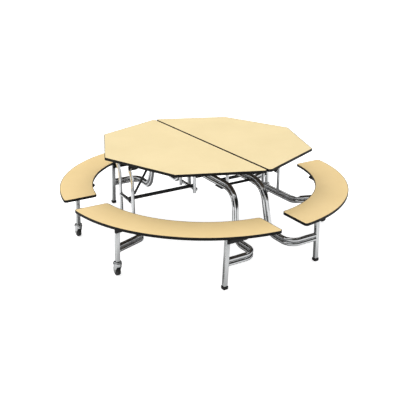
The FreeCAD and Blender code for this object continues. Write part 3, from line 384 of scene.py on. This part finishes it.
def grouped_nodes(name, inputs):
    """An empty geometry tree with a geometry input, the named inputs and a geometry output."""
    tree = bpy.data.node_groups.new(name, "GeometryNodeTree")
    tree.interface.new_socket("Geometry", in_out="INPUT", socket_type="NodeSocketGeometry")
    for label, kind in inputs.items():
        tree.interface.new_socket(label, in_out="INPUT", socket_type=f"NodeSocket{kind}")
    tree.interface.new_socket("Geometry", in_out="OUTPUT", socket_type="NodeSocketGeometry")
    return tree, tree.nodes.new("NodeGroupInput"), tree.nodes.new("NodeGroupOutput")


def bead_tree():
    """Sweeps a rippled round bead along the edges of a mesh."""
    tree, given, made = grouped_nodes("weld_bead", {
        "Bead Diameter": "Float", "Ripple": "Float", "Ripple Length": "Float", "Material": "Material",
    })
    nodes, links = tree.nodes, tree.links
    line = nodes.new("GeometryNodeMeshToCurve")
    section = nodes.new("GeometryNodeCurvePrimitiveCircle")
    section.inputs["Resolution"].default_value = 8
    half = nodes.new("ShaderNodeMath")
    half.operation = "MULTIPLY"
    half.inputs[1].default_value = 0.5
    sweep = nodes.new("GeometryNodeCurveToMesh")
    ripple = nodes.new("ShaderNodeTexNoise")
    density = nodes.new("ShaderNodeMath")
    density.operation = "DIVIDE"
    density.inputs[0].default_value = 1.0
    signed = nodes.new("ShaderNodeMath")
    signed.operation = "SUBTRACT"
    signed.inputs[1].default_value = 0.5
    height = nodes.new("ShaderNodeMath")
    height.operation = "MULTIPLY"
    outward = nodes.new("GeometryNodeInputNormal")
    push = nodes.new("ShaderNodeVectorMath")
    push.operation = "SCALE"
    move = nodes.new("GeometryNodeSetPosition")
    smooth = nodes.new("GeometryNodeSetShadeSmooth")
    real = nodes.new("GeometryNodeRealizeInstances")
    coated = nodes.new("GeometryNodeSetMaterial")
    for start, end in (
        (given.outputs["Geometry"], line.inputs["Mesh"]),
        (given.outputs["Bead Diameter"], half.inputs[0]),
        (half.outputs[0], section.inputs["Radius"]),
        (line.outputs[0], sweep.inputs["Curve"]),
        (section.outputs[0], sweep.inputs["Profile Curve"]),
        (given.outputs["Ripple Length"], density.inputs[1]),
        (density.outputs[0], ripple.inputs["Scale"]),
        (ripple.outputs["Fac"], signed.inputs[0]),
        (signed.outputs[0], height.inputs[0]),
        (given.outputs["Ripple"], height.inputs[1]),
        (outward.outputs[0], push.inputs[0]),
        (height.outputs[0], push.inputs["Scale"]),
        (sweep.outputs[0], move.inputs["Geometry"]),
        (push.outputs[0], move.inputs["Offset"]),
        (move.outputs[0], smooth.inputs["Geometry"]),
        (smooth.outputs[0], real.inputs["Geometry"]),
        (real.outputs[0], coated.inputs["Geometry"]),
        (given.outputs["Material"], coated.inputs["Material"]),
        (coated.outputs[0], made.inputs["Geometry"]),
    ):
        links.new(start, end)
    return tree


def grown(name, points, edges, tree, inputs, aims=None):
    """Runs a geometry tree on loose points or edges and keeps what it makes as a plain mesh."""
    seed = bpy.data.meshes.new(f"{name}_seed")
    seed.from_pydata(points, edges, [])
    if aims:
        seed.attributes.new("aim", "FLOAT_VECTOR", "POINT").data.foreach_set(
            "vector", [value for aim in aims for value in aim]
        )
    source = bpy.data.objects.new(f"{name}_source", seed)
    bpy.context.scene.collection.objects.link(source)
    modifier = source.modifiers.new(tree.name, "NODES")
    modifier.node_group = tree
    for label, value in inputs.items():
        modifier[tree.interface.items_tree[label].identifier] = value
    bpy.context.view_layer.update()
    graph = bpy.context.evaluated_depsgraph_get()
    mesh = bpy.data.meshes.new_from_object(source.evaluated_get(graph), depsgraph=graph)
    bpy.data.objects.remove(source)
    mesh.name = name
    return link_piece(name, mesh, inputs["Material"], smooth_angle=50)


def closed_loop(place_at, count=28):
    """Points of a closed line, from a function of the angle round it."""
    return [place_at(2 * math.pi * step / count) for step in range(count)]


def welded(name, loops, body):
    """All weld beads of one body: each loop is a closed line of points."""
    points, edges = [], []
    for loop in loops:
        first = len(points)
        points += loop
        edges += [(first + step, first + (step + 1) % len(loop)) for step in range(len(loop))]
    beads = grown(name, points, edges, bead_tree_used, {
        "Bead Diameter": BEAD_WIDTH, "Ripple": RIPPLE_HEIGHT, "Ripple Length": RIPPLE_LENGTH,
        "Material": chrome,
    })
    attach(beads, body)


bead_tree_used = bead_tree()
RUN_RADIUS, POST_RADIUS, PAIR_HALF = 0.015875, 0.0127, 0.015875
SPLAY = math.tan(math.radians(2.4))
LEG_HALF, BENCH_PIVOT = 0.015, 0.359
CASTER_SETBACK, CASTER_REACH, GLIDE_SETBACK, GLIDE_REACH = 0.915, 0.374, 0.382, 0.903
STRETCHER_LINE, STRETCHER_HEIGHT, ARM_SLOPE = 0.683675, 0.208, 0.372
POST_REACH, POST_LINE, CROSSBAR_HEIGHT = 0.105, 0.668675, 0.400
ARCH_LINE, ARCH_RUN, ARCH_LOW = 0.122, 0.551, 0.194
INNER_POST, INNER_BAR = 0.150675, 0.135675
BEAD_WIDTH, RIPPLE_HEIGHT, RIPPLE_LENGTH = 0.0042, 0.0012, 0.004


def leg_centre(setback, height):
    """How far out a leg's middle is at a height."""
    return setback + (BENCH_PIVOT - height) * SPLAY


def over_tube(distance, radius):
    """How far a tube's surface stands out at a distance from its middle line, never inside it."""
    return math.sqrt(max(0.0, radius**2 - distance**2))


for side, sign in SIDES.items():
    outer_loops, centre_loops = [], []
    for end_sign in ENDS.values():
        for offset in (-PAIR_HALF, PAIR_HALF):
            height = STRETCHER_HEIGHT + offset
            face = leg_centre(CASTER_SETBACK, height) - LEG_HALF
            along = CASTER_REACH - LEG_HALF * ARM_SLOPE
            outer_loops.append(closed_loop(lambda turn: (
                sign * face, end_sign * (along + 1.06 * RUN_RADIUS * math.cos(turn)),
                height + RUN_RADIUS * math.sin(turn),
            )))
            height = ARCH_LOW + offset
            face = leg_centre(GLIDE_SETBACK, height) - LEG_HALF
            centre_loops.append(closed_loop(lambda turn: (
                sign * face, end_sign * GLIDE_REACH + RUN_RADIUS * math.cos(turn),
                height + RUN_RADIUS * math.sin(turn),
            )))
        outer_loops.append(closed_loop(lambda turn: (
            sign * (POST_LINE + POST_RADIUS * math.cos(turn)),
            end_sign * POST_REACH + POST_RADIUS * math.sin(turn),
            STRETCHER_HEIGHT + PAIR_HALF
            + over_tube(POST_LINE + POST_RADIUS * math.cos(turn) - STRETCHER_LINE, RUN_RADIUS),
        )))
        outer_loops.append(closed_loop(lambda turn: (
            sign * (POST_LINE + POST_RADIUS * math.cos(turn)),
            end_sign * (POST_REACH - over_tube(POST_RADIUS * math.cos(turn), POST_RADIUS)),
            CROSSBAR_HEIGHT + POST_RADIUS * math.sin(turn),
        )))
        centre_loops.append(closed_loop(lambda turn: (
            sign * (INNER_BAR + POST_RADIUS * math.cos(turn)),
            end_sign * (POST_REACH - over_tube(
                INNER_BAR + POST_RADIUS * math.cos(turn) - INNER_POST, POST_RADIUS)),
            CROSSBAR_HEIGHT + POST_RADIUS * math.sin(turn),
        )))
        for offset in (-PAIR_HALF, PAIR_HALF):
            centre_loops.append(closed_loop(lambda turn: (
                sign * (ARCH_LINE + RUN_RADIUS + 0.0006), end_sign * POST_REACH + 0.0075 * math.cos(turn),
                ARCH_RUN + offset + 0.0085 * math.sin(turn),
            ), 16))
    welded(f"outer_welds_{side}", outer_loops, f"outer_{side}")
    welded(f"centre_welds_{side}", centre_loops, "centre_frame")


# ---------------------------------------------------------------- legs
# Square tube, 30 mm with softly rounded corners, leaning out towards the floor and closed at the
# top with a welded plate; its plating is brushed and duller than that of the round tube.


def rounded_square(half_x, half_y, radius, middle, steps=5):
    """A level ring with rounded corners about a middle point."""
    ring = []
    for quarter, (sx, sy) in enumerate(((1, 1), (-1, 1), (-1, -1), (1, -1))):
        for step in range(steps + 1):
            turn = math.pi / 2 * (quarter + step / steps)
            ring.append((
                middle[0] + sx * (half_x - radius) + radius * math.cos(turn),
                middle[1] + sy * (half_y - radius) + radius * math.sin(turn), middle[2],
            ))
    return ring


def lofted(name, stacks, material, smooth_angle=32):
    """One mesh from stacks of rings with equal numbers of points; both ends of each are closed."""
    form = bmesh.new()
    for rings in stacks:
        rows = [[form.verts.new(point) for point in ring] for ring in rings]
        for lower, upper in zip(rows, rows[1:]):
            for step in range(len(lower)):
                ahead = (step + 1) % len(lower)
                form.faces.new((lower[step], lower[ahead], upper[ahead], upper[step]))
        form.faces.new(rows[0][::-1])
        form.faces.new(rows[-1])
    bmesh.ops.remove_doubles(form, verts=form.verts, dist=1e-7)
    bmesh.ops.recalc_face_normals(form, faces=form.faces)
    mesh = bpy.data.meshes.new(name)
    form.to_mesh(mesh)
    form.free()
    return link_piece(name, mesh, material, smooth_angle)


def leg_stack(setback, sign, along, low, high):
    """The rings of a leg from a height to its top, whose edge is eased."""
    stack = []
    for height, inset in (
        (low, 0.0), (low + 0.02, 0.0), (high - 0.0008, 0.0), (high - 0.0002, 0.0003), (high, 0.001),
    ):
        middle = (sign * leg_centre(setback, height), along, height)
        stack.append(rounded_square(LEG_HALF - inset, LEG_HALF - inset, LEG_CORNER, middle))
    return stack


LEG_TOP, LEG_CORNER, CASTER_LEG_LOW, GLIDE_LEG_LOW = 0.3745, 0.0042, 0.112, 0.009
leg_chrome = finish(
    "brushed_leg_chrome", (0.60, 0.61, 0.61), (0.67, 0.68, 0.68), 0.05, (0.20, 0.30), (0.0012, 0.00003),
    metallic=1.0, stretch=(1, 1, 0.12),
)
for end, side in SEATS:
    sign, end_sign = SIDES[side], ENDS[end]
    for kind, setback, reach, low, body in (
        ("caster", CASTER_SETBACK, CASTER_REACH, CASTER_LEG_LOW, f"outer_{side}"),
        ("glide", GLIDE_SETBACK, GLIDE_REACH, GLIDE_LEG_LOW, "centre_frame"),
    ):
        stack = leg_stack(setback, sign, end_sign * reach, low, LEG_TOP)
        tube = lofted(f"{kind}_leg_tube_{end}_{side}", [stack], leg_chrome)
        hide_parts(f"{kind}_{end}_{side}_leg")
        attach(tube, body)


# ---------------------------------------------------------------- glide feet
# Square boots of black rubber pushed over the ends of the inner legs, with a rounded tread and a
# thin lip round the tube.

boot_rubber = finish(
    "black_boot_rubber", (0.012, 0.012, 0.012), (0.022, 0.021, 0.020), 0.015, (0.5, 0.65), (0.0012, 0.00018),
    Specular_IOR_Level=0.35,
)
BOOT_MIDDLE = 0.012
# Height, half width and corner radius, from the tread up to the lip and into the mouth.
BOOT_RINGS = (
    (0.0, 0.0150, 0.0050), (0.0006, 0.0164, 0.0056), (0.0030, 0.0181, 0.0058),
    (0.0050, 0.0185, 0.0050), (0.0180, 0.0185, 0.0050), (0.0190, 0.0180, 0.0048),
    (0.0200, 0.0180, 0.0048), (0.0210, 0.0185, 0.0050), (0.0232, 0.0184, 0.0050),
    (0.0240, 0.0176, 0.0048), (0.0240, 0.0156, 0.0044), (0.0215, 0.0150, 0.0040),
)
for end, side in SEATS:
    sign, along = SIDES[side], ENDS[end] * GLIDE_REACH
    middle = sign * leg_centre(GLIDE_SETBACK, BOOT_MIDDLE)
    boot = [
        rounded_square(half, half, radius, (middle, along, height)) for height, half, radius in BOOT_RINGS
    ]
    foot = lofted(f"leg_boot_{end}_{side}", [boot], boot_rubber)
    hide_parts(f"glide_{end}_{side}_foot")
    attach(foot, "centre_frame")


# ---------------------------------------------------------------- casters
# Swivel casters with 75 mm wheels: a pressed chrome hood and fork under a ball race, a rubber
# tyre on a dark nylon hub, and a bolt with a nut for an axle.


def turned(profile, middle, axis, steps=40):
    """Rings of a turned form: each profile point is (distance along the axis, radius)."""
    axis = Vector(axis).normalized()
    first = axis.orthogonal().normalized()
    second = axis.cross(first)
    turns = [2 * math.pi * step / steps for step in range(steps)]
    rings = []
    for distance, radius in profile:
        rings.append([
            Vector(middle) + axis * distance + (first * math.cos(turn) + second * math.sin(turn)) * radius
            for turn in turns
        ])
    return rings


def caster_heading(end, side):
    """Which way along Y a caster's wheel trails its swivel."""
    return -1 if (end, side) == ("front", "right") else 1


CASTER_LINE = leg_centre(CASTER_SETBACK, CASTER_LEG_LOW)
TRAIL, AXLE_HEIGHT = 0.016, 0.0375
HOOD_SHIFT = 0.0035
CHEEK_NEAR, CHEEK_FAR, CHEEK_RADIUS, CHEEK_STEPS = 0.0162, 0.0192, 0.0140, 12
# Height, half widths along X and Y and corner radius, up the outside, over the top and back inside.
HOOD_RINGS = (
    (0.0800, 0.0170, 0.0262, 0.0140), (0.0770, 0.0200, 0.0290, 0.0160), (0.0800, 0.0230, 0.0310, 0.0200),
    (0.0860, 0.0262, 0.0325, 0.0240), (0.0920, 0.0286, 0.0332, 0.0270), (0.0965, 0.0295, 0.0334, 0.0280),
    (0.0995, 0.0290, 0.0326, 0.0275), (0.1018, 0.0268, 0.0300, 0.0255), (0.1033, 0.0220, 0.0240, 0.0210),
    (0.1033, 0.0130, 0.0150, 0.0120), (0.0970, 0.0130, 0.0150, 0.0120), (0.0960, 0.0170, 0.0262, 0.0140),
)
tyre_rubber = finish(
    "black_tyre_rubber", (0.011, 0.011, 0.011), (0.026, 0.025, 0.024), 0.012, (0.42, 0.62), (0.0010, 0.00022),
    Specular_IOR_Level=0.4,
)
hub_nylon = finish(
    "dark_hub_nylon", (0.030, 0.030, 0.032), (0.045, 0.045, 0.047), 0.01, (0.38, 0.5), (0.0008, 0.00008),
)
for end, side in SEATS:
    sign, along = SIDES[side], ENDS[end] * CASTER_REACH
    heading = caster_heading(end, side)
    swivel = Vector((sign * CASTER_LINE, along, 0))
    axle = swivel + Vector((0, heading * TRAIL, AXLE_HEIGHT))

    shell = []
    for height, half_x, half_y, radius in HOOD_RINGS:
        middle = (swivel.x, swivel.y + heading * HOOD_SHIFT, height)
        shell.append(rounded_square(half_x, half_y, radius, middle, steps=7))
    cheeks = []
    for face in (-1, 1):
        near, far = swivel.x + face * CHEEK_NEAR, swivel.x + face * CHEEK_FAR
        outline = []
        for step in range(CHEEK_STEPS + 1):
            turn = math.pi + math.pi * step / CHEEK_STEPS
            outline.append((
                CHEEK_RADIUS * math.cos(turn) + TRAIL, AXLE_HEIGHT + CHEEK_RADIUS * math.sin(turn),
            ))
        outline += [(0.0300, 0.0600), (0.0315, 0.0780), (0.0305, 0.0900)]
        outline += [(-0.0240, 0.0900), (-0.0235, 0.0780)]
        cheeks.append([
            [(plane, swivel.y + heading * out, height) for out, height in outline] for plane in (near, far)
        ])
    fork = lofted(f"caster_hood_{end}_{side}", [shell] + cheeks, chrome)
    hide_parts(f"caster_{end}_{side}_fork")
    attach(fork, f"fork_{end}_{side}")

    race = lofted(f"caster_race_{end}_{side}", [
        turned([(0.1034, 0.0200), (0.1040, 0.0262), (0.1050, 0.0272), (0.1060, 0.0272), (0.1066, 0.0260)],
               (swivel.x, swivel.y, 0), (0, 0, 1)),
        turned([(0.1078, 0.0262), (0.1084, 0.0276), (0.1100, 0.0276), (0.1112, 0.0250), (0.1115, 0.0170)],
               (swivel.x, swivel.y, 0), (0, 0, 1)),
        turned([(0.1062, 0.0225), (0.1082, 0.0225)], (swivel.x, swivel.y, 0), (0, 0, 1)),
    ], chrome)
    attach(race, f"fork_{end}_{side}")

    tyre = lofted(f"caster_tyre_{end}_{side}", [turned([
        (-0.0108, 0.0255), (-0.0136, 0.0275), (-0.0140, 0.0300), (-0.0136, 0.0335), (-0.0118, 0.0360),
        (-0.0080, 0.0372), (-0.0040, 0.03746), (0.0040, 0.03746), (0.0080, 0.0372), (0.0118, 0.0360),
        (0.0136, 0.0335), (0.0140, 0.0300), (0.0136, 0.0275), (0.0108, 0.0255),
    ], axle, (1, 0, 0), 64)], tyre_rubber, smooth_angle=40)
    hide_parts(f"caster_{end}_{side}_wheel")
    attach(tyre, f"wheel_{end}_{side}")
    hub = lofted(f"caster_hub_{end}_{side}", [turned([
        (-0.0139, 0.0060), (-0.0139, 0.0100), (-0.0130, 0.0118), (-0.0100, 0.0125), (-0.0095, 0.0225),
        (-0.0118, 0.0240), (-0.0122, 0.0262), (0.0122, 0.0262), (0.0118, 0.0240), (0.0095, 0.0225),
        (0.0100, 0.0125), (0.0130, 0.0118), (0.0139, 0.0100), (0.0139, 0.0060),
    ], axle, (1, 0, 0), 48)], hub_nylon, smooth_angle=40)
    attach(hub, f"wheel_{end}_{side}")


# ---------------------------------------------------------------- screws, bolts and nuts
# Pan-head screws hold the brackets to the boards, hex bolts with locking nuts are the pivots and
# the axles; all are zinc plated steel but the seats' pivot bolts, which are coated black.

zinc = finish(
    "zinc_plate", (0.42, 0.42, 0.41), (0.58, 0.58, 0.56), 0.004, (0.28, 0.42), (0.0006, 0.00004),
    metallic=1.0,
)


def fastener_tree():
    """Puts a fastener on every point, turned to the point's aim."""
    tree, given, made = grouped_nodes("fasteners", {
        "Fastener": "Object", "Size": "Float", "Material": "Material",
    })
    nodes, links = tree.nodes, tree.links
    shape = nodes.new("GeometryNodeObjectInfo")
    aim = nodes.new("GeometryNodeInputNamedAttribute")
    aim.data_type = "FLOAT_VECTOR"
    aim.inputs["Name"].default_value = "aim"
    turn = nodes.new("FunctionNodeAlignRotationToVector")
    turn.axis = "Z"
    spread = nodes.new("GeometryNodeInstanceOnPoints")
    real = nodes.new("GeometryNodeRealizeInstances")
    coated = nodes.new("GeometryNodeSetMaterial")
    for start, end in (
        (given.outputs["Geometry"], spread.inputs["Points"]),
        (given.outputs["Fastener"], shape.inputs["Object"]),
        (shape.outputs["Geometry"], spread.inputs["Instance"]),
        (aim.outputs["Attribute"], turn.inputs["Vector"]),
        (turn.outputs["Rotation"], spread.inputs["Rotation"]),
        (given.outputs["Size"], spread.inputs["Scale"]),
        (spread.outputs[0], real.inputs["Geometry"]),
        (real.outputs[0], coated.inputs["Geometry"]),
        (given.outputs["Material"], coated.inputs["Material"]),
        (coated.outputs[0], made.inputs["Geometry"]),
    ):
        links.new(start, end)
    return tree


def pan_head():
    """A pan head about its seat, in millimetres, with a round recess for the driver."""
    return lofted("pan_head", [turned(
        [(0.0, 4.6), (0.5, 4.9), (1.4, 4.7), (2.3, 3.9), (2.8, 2.6), (2.9, 2.2), (2.0, 1.7), (1.6, 0.6)],
        (0, 0, 0), (0, 0, 1), 20,
    )], zinc)


def hex_head():
    """A chamfered hexagon on a thin washer, in millimetres, with a domed locking ring."""
    washer = turned([(0.0, 8.2), (1.1, 8.2), (1.2, 7.4)], (0, 0, 0), (0, 0, 1), 24)
    hexagon = turned([(1.1, 7.5), (4.6, 7.5), (5.4, 6.6)], (0, 0, 0), (0, 0, 1), 6)
    ring = turned([(5.3, 5.2), (6.3, 5.0), (6.9, 4.2), (6.9, 3.2), (6.2, 2.6)], (0, 0, 0), (0, 0, 1), 24)
    return lofted("hex_head", [washer, hexagon, ring], zinc, smooth_angle=25)


fastener_tree_used = fastener_tree()
patterns = {"pan": pan_head(), "hex": hex_head()}
DOWN = (0, 0, -1)
MILLIMETRE = 0.001


def fastened(name, kind, places, material, body):
    """A set of like fasteners on one body; places are (point, aim)."""
    points = [point for point, _ in places]
    heads = grown(name, points, [], fastener_tree_used, {
        "Fastener": patterns[kind], "Size": MILLIMETRE, "Material": material,
    }, aims=[aim for _, aim in places])
    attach(heads, body)


TOP_PIVOT, OUTER_PIVOT, INNER_PIVOT = 0.6596, 0.683675, 0.150675
TABLE_FLANGE, SEAT_FLANGE = 0.7146, 0.412
TABLE_SCREWS, SEAT_SCREWS = (0.040, 0.072, 0.104), (0.036, 0.074, 0.112)
TABLE_SCREW_SHIFT, SEAT_SCREW_SHIFT = 0.004, 0.005
TABLE_CHEEK_SIDE, TABLE_FREE_SIDE, SEAT_CHEEK_SIDE, SEAT_FREE_SIDE = 0.0217, 0.0187, 0.025, 0.021
STOP_SCREW = (0.0220, 0.735, 0.7056)
STRUT_HEAD, STRUT_FOOT, STRUT_LINE = (0.457675, 0.7016), (0.638675, 0.417), -0.040
HANGER_SCREW_LINE, HANGER_SCREW_APART = -0.050, 0.033
AXLE_END = 0.0188
for side, sign in SIDES.items():
    screws, bolts = [], []
    for end_sign in ENDS.values():
        for pivot, inward in ((OUTER_PIVOT, -1), (INNER_PIVOT, 1)):
            cheek, along = -sign * inward, end_sign * POST_REACH
            for distance in TABLE_SCREWS:
                out = sign * (pivot + inward * distance)
                screws.append(((out, along - cheek * TABLE_SCREW_SHIFT, TABLE_FLANGE), DOWN))
            for facing, seat in ((cheek, TABLE_CHEEK_SIDE), (-cheek, TABLE_FREE_SIDE)):
                # The outer pivots have flat heads on the inside, where the link bars swing past.
                if pivot == INNER_PIVOT or facing == end_sign:
                    bolts.append(((sign * pivot, along + facing * seat, TOP_PIVOT), (0, facing, 0)))
        screws.append(((sign * STOP_SCREW[0], end_sign * STOP_SCREW[1], STOP_SCREW[2]), DOWN))
    for face in (-1, 1):
        out = sign * STRUT_HEAD[0] + face * HANGER_SCREW_APART / 2
        screws.append(((out, HANGER_SCREW_LINE, TABLE_FLANGE), DOWN))
    fastened(f"table_screws_{side}", "pan", screws, zinc, f"top_{side}")
    fastened(f"table_pivot_bolts_{side}", "hex", bolts, zinc, f"top_{side}")
for end, side in SEATS:
    sign, end_sign = SIDES[side], ENDS[end]
    screws, bolts = [], []
    for setback, reach in ((CASTER_SETBACK, CASTER_REACH), (GLIDE_SETBACK, GLIDE_REACH)):
        out, along = sign * setback, end_sign * reach
        for distance in SEAT_SCREWS:
            place = (out - sign * distance, along - sign * SEAT_SCREW_SHIFT, SEAT_FLANGE)
            screws.append((place, DOWN))
        bolts.append(((out, along + sign * SEAT_CHEEK_SIDE, BENCH_PIVOT), (0, sign, 0)))
        bolts.append(((out, along - sign * SEAT_FREE_SIDE, BENCH_PIVOT), (0, -sign, 0)))
    fastened(f"seat_screws_{end}_{side}", "pan", screws, zinc, f"bench_{end}_{side}")
    fastened(f"seat_pivot_bolts_{end}_{side}", "hex", bolts, black_coat, f"bench_{end}_{side}")
    along = end_sign * CASTER_REACH + caster_heading(end, side) * TRAIL
    axle_ends = [
        ((sign * CASTER_LINE + face * AXLE_END, along, AXLE_HEIGHT), (face, 0, 0)) for face in (-1, 1)
    ]
    fastened(f"caster_axle_{end}_{side}", "hex", axle_ends, zinc, f"fork_{end}_{side}")
for pattern in patterns.values():
    bpy.data.objects.remove(pattern)


# ---------------------------------------------------------------- tube plugs
# Black nylon plugs with a low dome, tapped into the open ends of the uprights.

POST_TOP, INNER_POST_LOW = 0.6723, 0.3760
PLUG_PROFILE = [
    (-0.004, 0.0108), (0.0, 0.0108), (0.0002, 0.0124), (0.0012, 0.0124), (0.0022, 0.0108), (0.0028, 0.006),
]
for side, sign in SIDES.items():
    for kind, body, line, heights in (
        ("outer", f"outer_{side}", OUTER_PIVOT, ((POST_TOP, 1),)),
        ("inner", "centre_frame", INNER_POST, ((POST_TOP, 1), (INNER_POST_LOW, -1))),
    ):
        stacks = []
        for end_sign in ENDS.values():
            for height, facing in heights:
                middle = (sign * line, end_sign * POST_REACH, height)
                stacks.append(turned(PLUG_PROFILE, middle, (0, 0, facing), 28))
        plugs = lofted(f"{kind}_plugs_{side}", stacks, hub_nylon)
        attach(plugs, body)


# ---------------------------------------------------------------- cross members
# Round cross tubes between the arches, square channels under them and rubber-faced pads, all
# welded in and coated black.

for node in ("cross_tubes", "cross_channels", "arch_pads"):
    member = eased(node, f"black_{node}", 0.0006, black_coat)
    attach(member, "centre_frame")


# ---------------------------------------------------------------- links
# A flat steel bar with a sleeve welded on at each end that turns on the crossbars; it keeps the
# frames upright while the table folds.

for side in SIDES:
    bar = eased(f"link_{side}", f"link_bar_{side}", 0.0009, black_coat)
    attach(bar, f"link_{side}")


# ---------------------------------------------------------------- lift struts
# Gas struts that carry part of a board's weight: a black lacquered cylinder with a crimped
# collar, a polished rod, and an eye at each end.

lacquer = finish(
    "black_lacquer", (0.008, 0.008, 0.009), (0.013, 0.013, 0.014), 0.03, (0.18, 0.28), (0.004, 0.00003),
    Specular_IOR_Level=0.5, Coat_Weight=0.4, Coat_Roughness=0.12,
)
polished_rod = finish(
    "polished_rod", (0.70, 0.70, 0.71), (0.78, 0.78, 0.79), 0.02, (0.08, 0.14), (0.002, 0.00001),
    metallic=1.0,
)
# Distance from the head's eye and radius, for the crimp at the eye and the one at the rod's mouth.
EYE_COLLAR = [(0.0225, 0.0052), (0.0240, 0.0078), (0.0270, 0.0090), (0.0330, 0.0092), (0.0345, 0.0088)]
MOUTH_COLLAR = [(0.2980, 0.0088), (0.2990, 0.0093), (0.3085, 0.0093), (0.3108, 0.0080), (0.3120, 0.0062)]
for side, sign in SIDES.items():
    coat(f"strut_rod_{side}", polished_rod)
    coat(f"strut_cylinder_{side}", lacquer)
    head = Vector((sign * STRUT_HEAD[0], STRUT_LINE, STRUT_HEAD[1]))
    foot = Vector((sign * STRUT_FOOT[0], STRUT_LINE, STRUT_FOOT[1]))
    line = (foot - head).normalized()
    stacks = [turned(collar, head, line) for collar in (EYE_COLLAR, MOUTH_COLLAR)]
    collars = lofted(f"strut_collars_{side}", stacks, lacquer)
    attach(collars, f"strut_cylinder_{side}")
